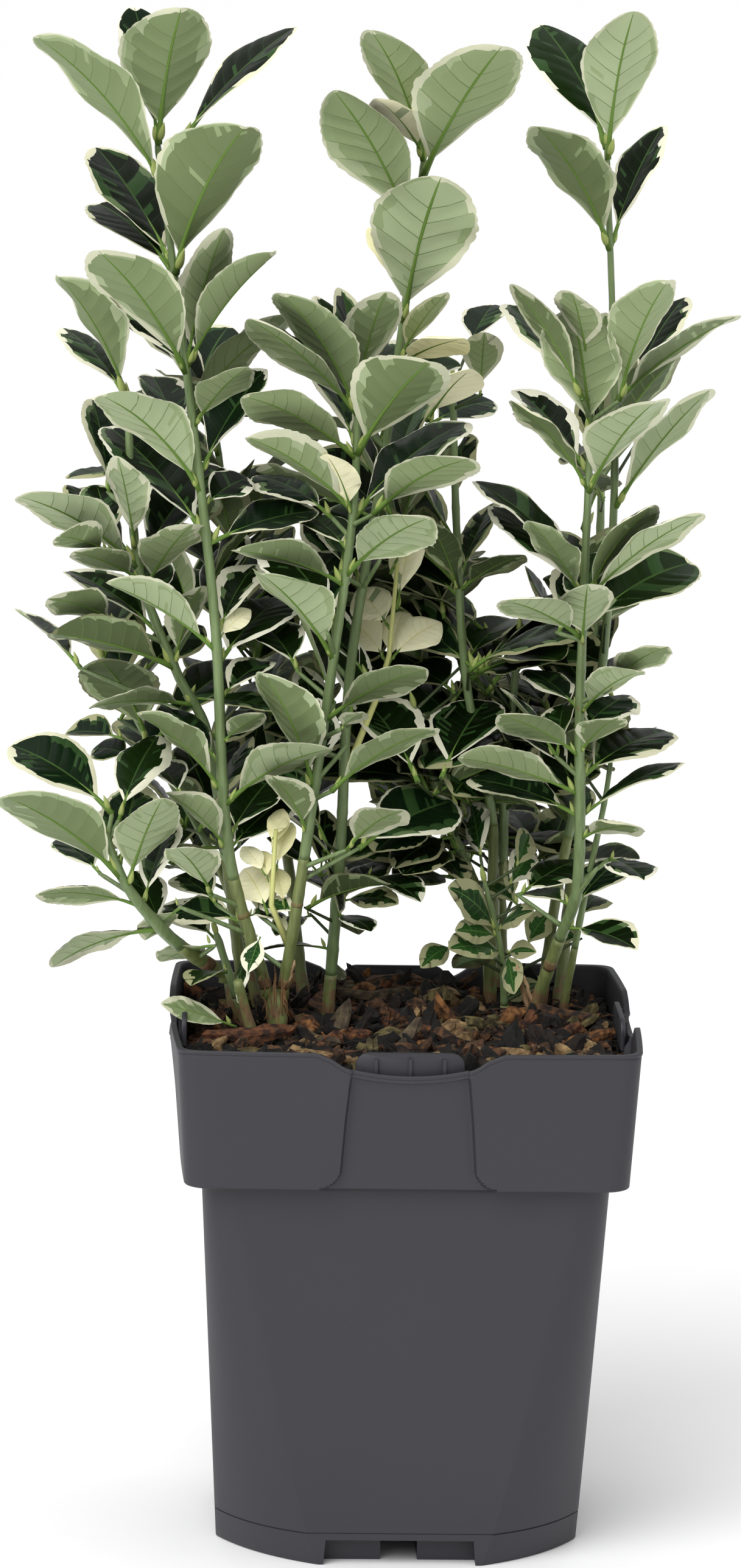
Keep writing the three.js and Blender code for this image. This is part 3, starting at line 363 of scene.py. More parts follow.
# Leaves of two cream shoots, read the same way: the cane, how far back they stand, and the leaves
CREAM_LEAVES = {
    "middle_tall": (24, [
        (650, 1000, 690, 880, 46, 28, UNDER), (640, 1085, 728, 1060, 40, 20, UNDER),
        (635, 1085, 590, 1062, 60, 18, UNDER), (640, 1035, 592, 1000, 60, 20, UNDER),
        (640, 940, 700, 885, 56, 24, UNDER), (640, 1090, 665, 1035, 44, 22, UNDER),
    ]),
    "middle_front": (-4, [
        (435, 1440, 405, 1415, 36, 14, UNDER), (440, 1450, 432, 1425, 40, 14, UNDER),
        (455, 1430, 482, 1380, 40, 16, UNDER), (450, 1400, 468, 1355, 44, 16, UNDER),
        (450, 1380, 470, 1360, 20, 10, UNDER), (470, 1490, 455, 1460, 50, 18, UNDER),
        (440, 1500, 405, 1480, 60, 20, UNDER),
    ]),
}
# Leaves whose reading did not look right in the render, given one by one: height on the cane or end of a
# side shoot, turn, rise, length, width and roll, in millimetres and degrees
SET_BY_HAND = {
    ("left_tall", 3): (406, -150, 46, 62, 24, 15),
    ("middle_tall", 10): (372, 130, 50, 26, 13, 0, "cream"),
    ("middle_tall", 5): (408, -58, 46, 57, 31, -8),
    ("middle_low", 2): ((4, 12, 225), 125, 37, 36, 23, -5),
    ("middle_low", 3): ((11, 14, 226), 60, 34, 36, 23, 0),
}

FLARE_HEIGHT = 5
FLARE = 0.35
TWIST = 4
LEAF_WIDTH_RATIO = 0.6
ROOT_OFF = 0.3
PETIOLE = 5
PETIOLE_HALF = 0.9
BLADE_SKEW = 1.22
BLADE_FULLNESS = 0.78
LOWEST_LEAF = 155.5
LOWEST_LEAF_OVER_RIM = 162.5
RIM_ZONE = 58
TURN_DRIFT = 9
RISE_DRIFT = 7
LENGTH_SPREAD = (0.92, 1.06)
WIDTH_SPREAD = (0.9, 1.1)
BEND = (14, 44)
FOLD = (6, 24)
ROLL_DRIFT = 28
FULL_SIZE_FROM = 1.6
SHOOT_SPREAD = (20, 50)
SHOOT_RISE = (38, 60)
SHOOT_LENGTH = (9, 15)
SHOOT_LEAF_TURN = 35
SHOOT_LEAF_RISES = (30, 52)
SHOOT_LEAF_SIZE = 0.8
CELL = 1.6
SAMPLE = 1.4
FREE_SHARE = 0.35
FIRST_LIMB = 100
SEEN_SEED = 606
LEAF_TOPS = {"left_inner": 208}
TRIES = [
    (0, 0, 1), (13, 0, 1), (-13, 0, 1), (0, 11, 1), (0, -11, 1),
    (24, 8, 0.95), (-24, 8, 0.95), (22, -12, 0.9), (-22, -12, 0.9),
    (38, 12, 0.85), (-38, 12, 0.85), (50, 24, 0.7), (-50, 24, 0.7),
]


def make_random(seed):
    """Seeded random numbers from 0 to 1, the same ones as the solids' rule draws."""
    mask = 0xFFFFFFFF
    state = seed & mask

    def draw():
        nonlocal state
        state = (state + 0x6D2B79F5) & mask
        mixed = ((state ^ (state >> 15)) * (state | 1)) & mask
        mixed ^= (mixed + (mixed ^ (mixed >> 7)) * (mixed | 61)) & mask
        return (mixed ^ (mixed >> 14)) / 4294967296

    return draw


def mix(a, b, t):
    return a + (b - a) * t


def between(limits, random):
    return mix(limits[0], limits[1], random())


def cane_at(way, z):
    """Point of a cane at a height, on a smooth curve through its way points."""

    def slope(i, axis):
        a = way[max(i - 1, 0)]
        b = way[min(i + 1, len(way) - 1)]
        return (b[axis] - a[axis]) / (b[2] - a[2])

    i = 0
    while i < len(way) - 2 and z > way[i + 1][2]:
        i += 1
    span = way[i + 1][2] - way[i][2]
    t = (z - way[i][2]) / span
    point = [
        (1 + 2 * t) * (1 - t) * (1 - t) * way[i][axis]
        + t * (1 - t) * (1 - t) * span * slope(i, axis)
        + t * t * (3 - 2 * t) * way[i + 1][axis]
        + t * t * (t - 1) * span * slope(i + 1, axis)
        for axis in (0, 1)
    ]
    return np.array([point[0], point[1], z])


def cane_direction(way, z):
    low = cane_at(way, z - 0.5)
    high = cane_at(way, z + 0.5)
    along = np.array([high[0] - low[0], high[1] - low[1], 1.0])
    return along / np.linalg.norm(along)


def cane_radius(cane, z):
    foot, tip = cane["way"][0][2], cane["way"][-1][2]
    radius = mix(cane["girth"][0], cane["girth"][1], (z - foot) / (tip - foot)) / 2
    flare = FLARE * math.exp((foot - z) / FLARE_HEIGHT) if foot == GROUND else 0
    return radius * (1 + flare)


def across_and_back(along):
    across = np.cross((0.0, 1.0, 0.0), along)
    across /= np.linalg.norm(across)
    return across, np.cross(along, across)


def cane_ring(cane, z, sides):
    across, back = across_and_back(cane_direction(cane["way"], z))
    angles = 2 * math.pi * np.arange(sides)[:, None] / sides
    radius = cane_radius(cane, z)
    return cane_at(cane["way"], z) + radius * (across * np.cos(angles) + back * np.sin(angles))


def leaf_frame(leaf, share):
    """Middle line, side and normal of a leaf at shares of its length."""
    azimuth = math.radians(leaf["turn"])
    start = math.radians(leaf["rise"] + leaf["bend"] / 2)
    bend = math.radians(leaf["bend"])
    share = np.asarray(share, float)[..., None]
    now = start - bend * share
    run = leaf["length"] * (math.sin(start) - np.sin(now)) / bend
    lift = leaf["length"] * (np.cos(now) - math.cos(start)) / bend
    out = np.array([math.cos(azimuth), math.sin(azimuth), 0.0])
    up = np.array([0.0, 0.0, 1.0])
    middle = leaf["base"] + out * run + up * lift
    side = np.array([-out[1], out[0], 0.0])
    normal = up * np.cos(now) - out * np.sin(now)
    roll = math.radians(leaf["roll"])
    turned_side = side * math.cos(roll) + normal * math.sin(roll)
    turned_normal = normal * math.cos(roll) - side * math.sin(roll)
    return middle, turned_side, turned_normal


def leaf_points(leaf, from_length):
    """Points all over a leaf, close enough together to find the cells it takes."""
    steps = int((leaf["length"] + 0.5 - from_length) / SAMPLE) + 2
    runs = [from_length]
    for _ in range(steps):
        runs.append(runs[-1] + SAMPLE)
    runs = np.array([run for run in runs if run <= leaf["length"] + 0.5])
    share = np.minimum(runs / leaf["length"], 1)
    middle, side, normal = leaf_frame(leaf, share)
    petiole = PETIOLE / leaf["length"]
    inner = np.clip((share - petiole) / (1 - petiole), 0, 1)
    blade = np.maximum(np.sin(math.pi * inner**BLADE_SKEW), 0) ** BLADE_FULLNESS
    blade = np.where(share > petiole, blade, 0)
    half = np.maximum(np.where(share < 0.5, PETIOLE_HALF, 0), blade * leaf["width"] / 2)
    across = max(1, math.ceil(leaf["width"] / 2 / SAMPLE))
    sides = np.arange(-across, across + 1) / across
    fold = math.radians(leaf["fold"])
    reach = half[:, None, None] * sides[None, :, None]
    points = middle[:, None] + side[:, None] * reach * math.cos(fold)
    return (points + normal[:, None] * np.abs(reach) * math.sin(fold)).reshape(-1, 3)


class Space:
    """Small cells, each taken by the first limb or foliage piece that needs it."""

    def __init__(self, low, high):
        self.low = np.floor(np.array(low) / CELL).astype(int)
        size = np.ceil(np.array(high) / CELL).astype(int) - self.low
        self.taken = np.full(size, -1, np.int16)
        self.crossed = np.zeros(size, bool)

    def cells(self, points):
        return np.floor(np.asarray(points) / CELL).astype(int) - self.low

    def take(self, points, owner):
        cells = self.cells(points)
        for offset in np.ndindex(3, 3, 3):
            at = tuple((cells + np.array(offset) - 1).T)
            self.taken[at] = np.where(self.taken[at] < 0, owner, self.taken[at])

    def held_by_other(self, points, owner):
        holder = self.taken[tuple(self.cells(points).T)]
        return bool(((holder >= 0) & (holder != owner)).any())


space = Space((-180, -150, 100), (180, 170, 500))


def limb_points(cane, low, high):
    points = []
    z = low
    while z <= high:
        points.append(cane_ring(cane, z, 6))
        z += SAMPLE
    return np.concatenate(points)


def too_low(points):
    over_rim = np.abs(points[:, :2]).max(1) > RIM_ZONE
    return bool((points[:, 2] < np.where(over_rim, LOWEST_LEAF_OVER_RIM, LOWEST_LEAF)).any())


def place_leaf(leaf, owner):
    """A leaf finds its place by small turns; it is left out where none is free."""
    for turn, tilt, size in TRIES:
        tried = dict(leaf)
        tried["turn"] = leaf["turn"] + turn
        tried["rise"] = leaf["rise"] + tilt
        tried["length"] = leaf["length"] * size
        tried["width"] = leaf["width"] * size
        points = leaf_points(tried, 0)
        if too_low(points) or outside(points) or space.held_by_other(points, owner) or before_sky(points):
            continue
        outer = tuple(space.cells(leaf_points(tried, tried["length"] * FREE_SHARE)).T)
        if space.crossed[outer].any():
            continue
        space.take(points, owner)
        space.crossed[outer] = True
        return tried
    return None


def heading(turn, rise):
    """Direction with a turn and a rise in degrees."""
    across, up = math.radians(turn), math.radians(rise)
    return np.array([math.cos(up) * math.cos(across), math.cos(up) * math.sin(across), math.sin(up)])


def root_of(cane, z, turn):
    point = cane_at(cane["way"], z)
    off = ROOT_OFF * cane_radius(cane, z)
    point[0] += off * math.cos(math.radians(turn))
    point[1] += off * math.sin(math.radians(turn))
    return point


def make_leaf(base, turn, rise, length, random):
    return {
        "base": base,
        "turn": turn + mix(-TURN_DRIFT, TURN_DRIFT, random()),
        "rise": rise + mix(-RISE_DRIFT, RISE_DRIFT, random()),
        "length": length * between(LENGTH_SPREAD, random),
        "width": length * LEAF_WIDTH_RATIO * between(WIDTH_SPREAD, random),
        "bend": between(BEND, random),
        "fold": between(FOLD, random),
        "roll": mix(-ROLL_DRIFT, ROLL_DRIFT, random()),
    }


def grow_cane(cane, owner):
    """All the leaves and side shoots of one cane, by the rule of the solids."""
    random = make_random(cane["seed"])
    leaves = []
    shoots = []
    low = cane["joints"][0]
    high = cane["joints"][-1]
    tuft = list(cane.get("tuft", []))
    leaf_top = LEAF_TOPS.get(cane["name"], np.inf)

    def add_leaf(base, turn, rise, length):
        placed = place_leaf(make_leaf(base, turn, rise, length, random), owner)
        if placed:
            leaves.append(placed)

    for below_tip, z in enumerate(reversed(cane["joints"])):
        share = (z - low) / (high - low)
        centre = cane_at(cane["way"], z)
        turn = cane["turn"] + (90 + TWIST) * below_tip
        rise = mix(cane["rise"][0], cane["rise"][1], share)
        length = mix(cane["leaf"][0], cane["leaf"][1], min(1, share * FULL_SIZE_FROM))
        if z not in cane.get("fallen", []) and z < leaf_top:
            for side in (0, 1):
                own = tuft.pop(0) if tuft else (turn + 180 * side, rise, length)
                add_leaf(root_of(cane, z, own[0]), *own)
        if z not in cane["shoots"] or z > leaf_top:
            continue
        side = 0 if random() < 0.5 else 180
        shoot_turn = turn + side + between(SHOOT_SPREAD, random)
        way = heading(shoot_turn, between(SHOOT_RISE, random))
        tip = centre + between(SHOOT_LENGTH, random) * way
        line = [mix(centre, tip, t) for t in (0.25, 0.5, 0.75, 1)]
        if space.held_by_other(line, owner):
            continue
        space.take(line, owner)
        shoots.append((centre, tip))
        for quarter in range(4):
            leaf_turn = shoot_turn + SHOOT_LEAF_TURN + 90 * quarter
            add_leaf(tip, leaf_turn, SHOOT_LEAF_RISES[quarter % 2], length * SHOOT_LEAF_SIZE)
    return leaves, shoots


limbs = [(trunk["name"], trunk, trunk["way"][-1][2]) for trunk in TRUNKS]
limbs += [(cane["name"] + "_cane", cane, cane["leafy"]) for cane in CANES]
for i, (_, cane, top) in enumerate(limbs):
    space.take(limb_points(cane, cane["way"][0][2], top), FIRST_LIMB + i)
for i, cane in enumerate(CANES):
    space.take(limb_points(cane, cane["leafy"], cane["way"][-1][2]), i)

# Two cream shoots that the photo shows, from their cane to their tip
SEEN_SHOOTS = {
    "middle_tall": [[(-17, 12, 230), (-9, 22, 248), (-5, 24, 262), (-3, 24, 290)]],
    "middle_front": [[(-35, -3, 178), (-40, -4, 190), (-39, -4, 213)]],
}
# Single leaves that the photo shows at the foot: one rests on the rim, one hangs from a bud
LOOSE_LEAVES = [
    ((-50, -4.5, 152.6), -165, 19, 25, 11.5, 150, None),
    ((-43.2, -7, 180.8), -122, -55, 12, 7.5, 0, "fresh"),
]
# Open places that the photo shows in the crown, in the plane through the pot's middle: across, up, radius
SKY = [
    (3, 181, 9), (-8, 173, 8), (-18, 170, 5), (13, 176, 8), (24, 327, 8), (-38, 352, 6), (-50, 330, 6),
    (-56, 373, 9), (-22, 385, 12), (-39, 406, 20), (30, 393, 9), (34, 420, 14), (79, 386, 14),
    (82, 326, 10), (34, 318, 7), (43, 348, 5), (37, 396, 11), (42, 382, 9), (48, 374, 7), (78, 388, 12),
]
# More open places, as read in the photo: pixels across and down, and radius in pixels
OPEN_IN_PHOTO = [
    (925, 820, 35), (1050, 830, 40), (988, 850, 18), (835, 965, 42), (1060, 1040, 45), (1065, 1145, 36),
    (1035, 1305, 46), (780, 830, 28), (832, 900, 24), (1100, 1215, 30),
]
PIXELS_PER_MM = 5.6
# Places with nothing green before them, since the photo shows cream shoots there
CLEAR = [(-4, 295, 7), (-6, 280, 8), (3, 268, 7), (11, 266, 5), (-58, 271, 6), (-40, 198, 9), (-24, 327, 6)]
CLEAR_BEFORE = 26
# Height and reach of the crown's left and right edge in that plane
LEFT_EDGE = [
    (150, -64), (167, -76), (190, -90), (234, -102), (278, -100), (313, -104), (362, -95), (400, -88),
    (470, -95),
]
RIGHT_EDGE = [
    (150, 58), (175, 62), (197, 70), (214, 72), (268, 80), (310, 84), (347, 80), (368, 84), (400, 70),
    (470, 66),
]
# The photo's camera, fitted to the pot's rim and corners: pixels, millimetres and degrees
PHOTO_MIDDLE = np.array([608.5, 1288])
PHOTO_FOCAL = 10726.47
POT_SCALE = 136 / 150
PHOTO_BACK = 2128.57 * POT_SCALE
PHOTO_UP = 610.665 * POT_SCALE
PHOTO_ACROSS = 11.935 * POT_SCALE
PHOTO_PITCH = 9.626056
PHOTO_YAW = 1.99296
PHOTO_ROLL = 1.01837
# How readings become leaves: a leaf may be a little longer than read, and rolls until its width fits
SEEN_BEND = 24
WIDEST_AT = 0.55
STRETCHES = (1, 1.04, 1.08, 1.12, 1.16, 1.2)
READ_ROLLS = np.arange(-70, 71, 5)
FRESH_ROLLS = np.arange(-85, 86, 5)
READ_WIDTH = (0.42, 0.64)
WIDTH_MORE = 1.04
PLUMP = 0.56
LEAST_SHOWN = 0.5
WRONG_FACE = 1.5
CANE_STEP = 0.5
# Pixels across and down within which a leaf stands on its cane, and how far back of it the others stand
NEAR_CANE = (28, 12)
NEAR_FRESH_CANE = (6, 8)
BACK_OF_CANE = {UNDER: -6, UPPER: 8}
BACK_OF_FRESH_CANE = {UNDER: -6, UPPER: 2}
CREAM_RISE = 26
CREAM_TURNED_BELOW = 300
CREAM_SIZE = 1.08
SMALL_CREAM = 20
SMALL_CREAM_WIDTH = 0.72
VIEW_CELL = 1.5
VIEW_SIZE = (220, 240)
VIEW_FOOT = (-165, 130)
MOST_COVERED = 0.03
SHOOT_SLOPE = 0.5
SHOOT_FOOT_ROOM = (4, 2)
READ_BEND_SPREAD = (-6, 10)
READ_FOLD = (5, 20)
SHORTENINGS = 14
SHORTER = 0.97
NARROWER = 0.99
BACK_LEAVES_TOP = 300
FRONT_CANES = ("left_tall", "middle_front", "right_front", "right_tall", "left_second", "middle_tall")
BOX_MARGIN = 1.6
crown_low, crown_high = (np.array(cad_box) - SHIFT) * 1000 + BOX_MARGIN * np.array([[1], [-1]])


def front_view(points):
    """Place of points in the plane through the pot's middle, as the camera sees them."""
    points = np.asarray(points, float)
    scale = -CAMERA_AT[1] / (points[..., 1] - CAMERA_AT[1])
    across = CAMERA_AT[0] + (points[..., 0] - CAMERA_AT[0]) * scale
    up = CAMERA_AT[2] + (points[..., 2] - CAMERA_AT[2]) * scale
    return across, up


# How far back the nearest leaf or cane lies that the photo shows, for each small cell of the view
seen_front = np.full(VIEW_SIZE, np.inf)


def view_cells(points):
    across, up = front_view(points)
    i = ((across - VIEW_FOOT[0]) / VIEW_CELL).astype(int)
    j = ((up - VIEW_FOOT[1]) / VIEW_CELL).astype(int)
    return np.clip(i, 0, VIEW_SIZE[0] - 1), np.clip(j, 0, VIEW_SIZE[1] - 1)


def mark_seen(points):
    np.minimum.at(seen_front, view_cells(points), points[:, 1])


def outside(points):
    return bool((points < crown_low).any() or (points > crown_high).any())


def before_sky(points):
    """True where points would close an open place, pass the crown's edge or hide what the photo shows."""
    across, up = front_view(points)
    behind = seen_front[view_cells(points)]
    if ((behind < np.inf) & (points[..., 1] < behind)).mean() > MOST_COVERED:
        return True
    left = np.interp(up, *zip(*LEFT_EDGE))
    right = np.interp(up, *zip(*RIGHT_EDGE))
    if ((across < left) | (across > right)).any():
        return True
    if any((np.hypot(across - x, up - z) < radius).any() for x, z, radius in SKY):
        return True
    near = points[..., 1] < CLEAR_BEFORE
    return any(((np.hypot(across - x, up - z) < radius) & near).any() for x, z, radius in CLEAR)


def rotated(a, b, degrees):
    """Two lengths at right angles, turned by an angle."""
    c = math.cos(math.radians(degrees))
    s = math.sin(math.radians(degrees))
    return a * c - b * s, a * s + b * c


PHOTO_EYE = np.array([*rotated(-PHOTO_ACROSS, -PHOTO_BACK, -PHOTO_YAW), PHOTO_UP])


def in_photo(points):
    """Where points lie in the photo, in pixels."""
    x, y = rotated(points[..., 0], points[..., 1], PHOTO_YAW)
    depth, up = rotated(y + PHOTO_BACK, points[..., 2] - PHOTO_UP, PHOTO_PITCH)
    u = PHOTO_FOCAL * (x + PHOTO_ACROSS) / depth
    return np.stack(rotated(u, -PHOTO_FOCAL * up / depth, PHOTO_ROLL), -1) + PHOTO_MIDDLE


def through(u, v):
    """Direction from the photo's camera through a pixel."""
    u, v = rotated(u - PHOTO_MIDDLE[0], v - PHOTO_MIDDLE[1], -PHOTO_ROLL)
    y, z = rotated(1, -v / PHOTO_FOCAL, -PHOTO_PITCH)
    x, y = rotated(u / PHOTO_FOCAL, y, -PHOTO_YAW)
    return np.array([x, y, z]) / math.hypot(x, y, z)


def point_behind(u, v, back):
    """Whole millimetres of the point that a pixel shows at one distance back."""
    way = through(u, v)
    return np.round(PHOTO_EYE + (back - PHOTO_EYE[1]) / way[1] * way)


def open_place(u, v, radius):
    """An open place in the plane through the pot's middle, from its reading."""
    x, _, z = point_behind(u, v, 0)
    return x, z, round(radius / PIXELS_PER_MM)


SKY += [open_place(*reading) for reading in OPEN_IN_PHOTO]


def tips_behind(base, u, v, length):
    """Where a leaf of one length can have its tip behind a pixel, and the length that reaches there."""
    way = through(u, v)
    half_bend = math.radians(SEEN_BEND) / 2
    chord = math.sin(half_bend) / half_bend
    away = PHOTO_EYE - base
    along = away @ way
    room = along**2 - away @ away + (length * chord) ** 2
    if room < 0:
        tip = PHOTO_EYE - along * way
        return [tip], np.linalg.norm(tip - base) / chord
    return [PHOTO_EYE + (side * math.sqrt(room) - along) * way for side in (-1, 1)], length


def read_leaf(base, reading, fresh):
    """Turn, rise, length, width and roll that show a leaf's tip and width where they were read."""
    _, _, u, v, wide, length, face = reading[:7]
    rolls = FRESH_ROLLS if fresh else READ_ROLLS
    c = np.cos(np.radians(rolls))[:, None]
    s = np.sin(np.radians(rolls))[:, None]
    along = np.array([u, v]) - in_photo(base)
    across = np.array([-along[1], along[0]]) / np.linalg.norm(along)
    best = (np.inf,)
    for stretch in STRETCHES:
        tips, long = tips_behind(base, u, v, length * stretch)
        for tip in tips:
            way = tip - base
            turn = math.degrees(math.atan2(way[1], way[0]))
            rise = math.degrees(math.asin(way[2] / np.linalg.norm(way)))
            flat = {"base": base, "turn": turn, "rise": rise, "length": long, "bend": SEEN_BEND, "roll": 0}
            middle, side, normal = leaf_frame(flat, WIDEST_AT)
            view = (middle - PHOTO_EYE) / np.linalg.norm(middle - PHOTO_EYE)
            facing = -(normal * c - side * s) @ view
            shown = abs((in_photo(middle + side * c + normal * s) - in_photo(middle)) @ across)
            least, most = (share * length for share in READ_WIDTH)
            width = np.clip(wide * WIDTH_MORE / np.maximum(shown, LEAST_SHOWN), least, most)
            off = abs(shown * width - wide) / wide
            stretched = long / length - 1
            # Fresh leaves show their face; the others stay slim and roll as little as they can
            if fresh:
                score = 3 * off + 0.5 * stretched + 1.2 * (1 - abs(facing))
            else:
                score = 2.5 * off + 0.9 * stretched + abs(rolls) / 170
                score += 1.5 * np.maximum(0, width / long - PLUMP)
            score += WRONG_FACE * (facing * face < 0)
            i = np.argmin(score)
            if score[i] < best[0]:
                turn = 5 * round(turn / 5)
                best = (score[i], turn, round(rise), round(long), round(width[i]), int(rolls[i]))
    return best[1:]


def read_cane(cane):
    """The leaves read for a cane: first those on it, then those on side shoots and on the cream shoot."""
    fresh = cane["name"] == "low_fresh"
    near = NEAR_FRESH_CANE if fresh else NEAR_CANE
    beside_by = BACK_OF_FRESH_CANE if fresh else BACK_OF_CANE
    heights = np.arange(cane["way"][0][2], cane["way"][-1][2], CANE_STEP)
    line = np.array([cane_at(cane["way"], z) for z in heights])
    on_cane = []
    beside = []
    for i, reading in enumerate(SEEN.get(cane["name"], [])):
        off = abs(np.array(reading[:2]) - in_photo(line))
        nearest = np.argmin(off[:, 1])
        base = line[nearest]
        place = round(base[2])
        rows = on_cane
        if (off[nearest] > near).any():
            base = point_behind(*reading[:2], base[1] + beside_by[reading[6]])
            place = tuple(base)
            rows = beside
        own = SET_BY_HAND.get((cane["name"], i))
        rows.append(own or (place, *read_leaf(base, reading, fresh), *reading[7:]))
    back, readings = CREAM_LEAVES.get(cane["name"], (0, []))
    for reading in readings:
        base = point_behind(*reading[:2], back)
        beside.append((tuple(base), *read_leaf(base, reading, False), "cream"))
    return on_cane + beside


def grow_seen(cane, owner, random):
    """The leaves that the photo shows on a cane, with the side shoots that carry them."""
    leaves = []
    shoots = []
    for place, turn, rise, length, width, roll, *look in read_cane(cane):
        if "cream" in look and (place[2] if isinstance(place, tuple) else place) < CREAM_TURNED_BELOW:
            turn, rise, roll = -turn, max(rise, CREAM_RISE), -roll
            length *= CREAM_SIZE
            width *= SMALL_CREAM_WIDTH if length < SMALL_CREAM else 1
        if isinstance(place, tuple):
            base = np.array(place, float)
            foot_z = base[2] - SHOOT_SLOPE * np.hypot(*(base - cane_at(cane["way"], base[2]))[:2])
            foot_z = max(foot_z, cane["way"][0][2] + SHOOT_FOOT_ROOM[0])
            foot_z = min(foot_z, cane["way"][-1][2] - SHOOT_FOOT_ROOM[1])
            if "cream" not in look:
                shoots.append((cane_at(cane["way"], foot_z), base))
        else:
            base = root_of(cane, place, turn)
        leaf = {
            "base": base,
            "turn": turn,
            "rise": rise,
            "length": length,
            "width": width,
            "bend": SEEN_BEND + random.uniform(*READ_BEND_SPREAD),
            "fold": random.uniform(*READ_FOLD),
            "roll": roll,
            "look": look[0] if look else None,
            "seen": True,
        }
        for _ in range(SHORTENINGS):
            points = leaf_points(leaf, 0)
            if not outside(points):
                break
            leaf["length"] *= SHORTER
            leaf["width"] *= NARROWER
        mark_seen(points)
        space.take(points, owner)
        outer = leaf_points(leaf, length * FREE_SHARE)
        space.crossed[tuple(space.cells(outer).T)] = True
        leaves.append(leaf)
    return leaves, shoots


seen_random = np.random.RandomState(SEEN_SEED)
seen_growth = [grow_seen(cane, i, seen_random) for i, cane in enumerate(CANES)]
for _, cane, top in limbs:
    if cane["name"] in FRONT_CANES:
        mark_seen(limb_points(cane, cane["way"][0][2], top))
for cane in CANES:
    if cane["name"] in FRONT_CANES:
        mark_seen(limb_points(cane, cane["leafy"], cane["way"][-1][2]))
grown = []
for i, (cane, (seen, seen_twigs)) in enumerate(zip(CANES, seen_growth)):
    leaves, shoots = grow_cane(cane, i)
    if seen:
        away = [leaf for leaf in leaves if math.sin(math.radians(leaf["turn"])) > 0]
        leaves = [leaf for leaf in away if leaf["base"][2] < BACK_LEAVES_TOP]
        shoots = [shoot for shoot in shoots if shoot[1][2] < BACK_LEAVES_TOP]
    grown.append((seen + leaves, seen_twigs + shoots))
for place, turn, rise, length, width, roll, look in LOOSE_LEAVES:
    leaf = {"base": np.array(place, float), "turn": turn, "rise": rise, "length": length, "width": width}
    leaf.update(bend=6, fold=8, roll=roll, look=look, seen=True)
    grown[0][0].append(leaf)

# Finer growth by the same rule: side shoots with smaller leaves, between and below the large leaves
FILL_SEED = 4177
FILL_STEP = (3.4, 6.4)
DENSE_ROUNDS = {"right_rear": 5, "middle_low": 6, "middle_rear": 5, "rear_middle": 2, "rear_right": 1}
DENSE_TOP = 275
DENSE_SIZE = 1.16
DENSE_CROSSED = 0.2
FILL_TOP = 345
FILL_FOOT = {"left_tall": 176, "middle_front": 180, "left_low": 178, "left_basal": 166, "low_fresh": 163}
FILL_FOOT_OTHERS = 184
FILL_FOOT_DRIFT = 4
FILL_BELOW_TIP = 22
FILL_REACH = (5, 21)
FILL_RISE = (8, 58)
FILL_LEAF = (31, 42)
FILL_LEAF_HEIGHTS = (175, 305)
FILL_WIDTH_RATIO = 0.56
FILL_RISE_AWAY = (18, 58)
FILL_RISE_TOWARDS = (-8, 34)
FILL_TRIES = 4
FILL_TURN_DRIFT = 22
FILL_RISE_DRIFT = 16
FILL_ROLL_DRIFT = 35
FILL_LENGTHS = (0.82, 1.1)
FILL_WIDTHS = (0.88, 1.14)
FILL_BEND = (10, 42)
FILL_FOLD = (6, 26)
FILL_TOPS = {"left_inner": 200}
FILL_BACK_SHARE = 0.62
FREE_FROM = 0.22
# Leaf pairs on a shoot: share of its reach and turn
LONG_REACH = 15
LONG_SHOOT = [(1.0, 0), (0.92, 90), (0.55, 0)]
SHORT_SHOOT = [(1.0, 0), (0.9, 90)]


def blocked(points, most_crossed=0):
    """True where a leaf or shoot would leave the crown or pass through another one."""
    if outside(points) or too_low(points) or before_sky(points):
        return True
    at = tuple(space.cells(points).T)
    return bool(space.crossed[at].mean() > most_crossed or (space.taken[at] >= FIRST_LIMB).any())


def fill_leaf(base, turn, rise, length, most_crossed, random):
    """A small leaf with its own place, or none where its outer part would hit something."""
    for _ in range(FILL_TRIES):
        leaf = {
            "base": base,
            "turn": turn + random.uniform(-FILL_TURN_DRIFT, FILL_TURN_DRIFT),
            "rise": rise + random.uniform(-FILL_RISE_DRIFT, FILL_RISE_DRIFT),
            "length": length * random.uniform(*FILL_LENGTHS),
            "bend": random.uniform(*FILL_BEND),
            "fold": random.uniform(*FILL_FOLD),
            "roll": random.uniform(-FILL_ROLL_DRIFT, FILL_ROLL_DRIFT),
        }
        leaf["width"] = leaf["length"] * FILL_WIDTH_RATIO * random.uniform(*FILL_WIDTHS)
        points = leaf_points(leaf, leaf["length"] * FREE_FROM)
        if not blocked(points, most_crossed):
            return leaf, points
    return None


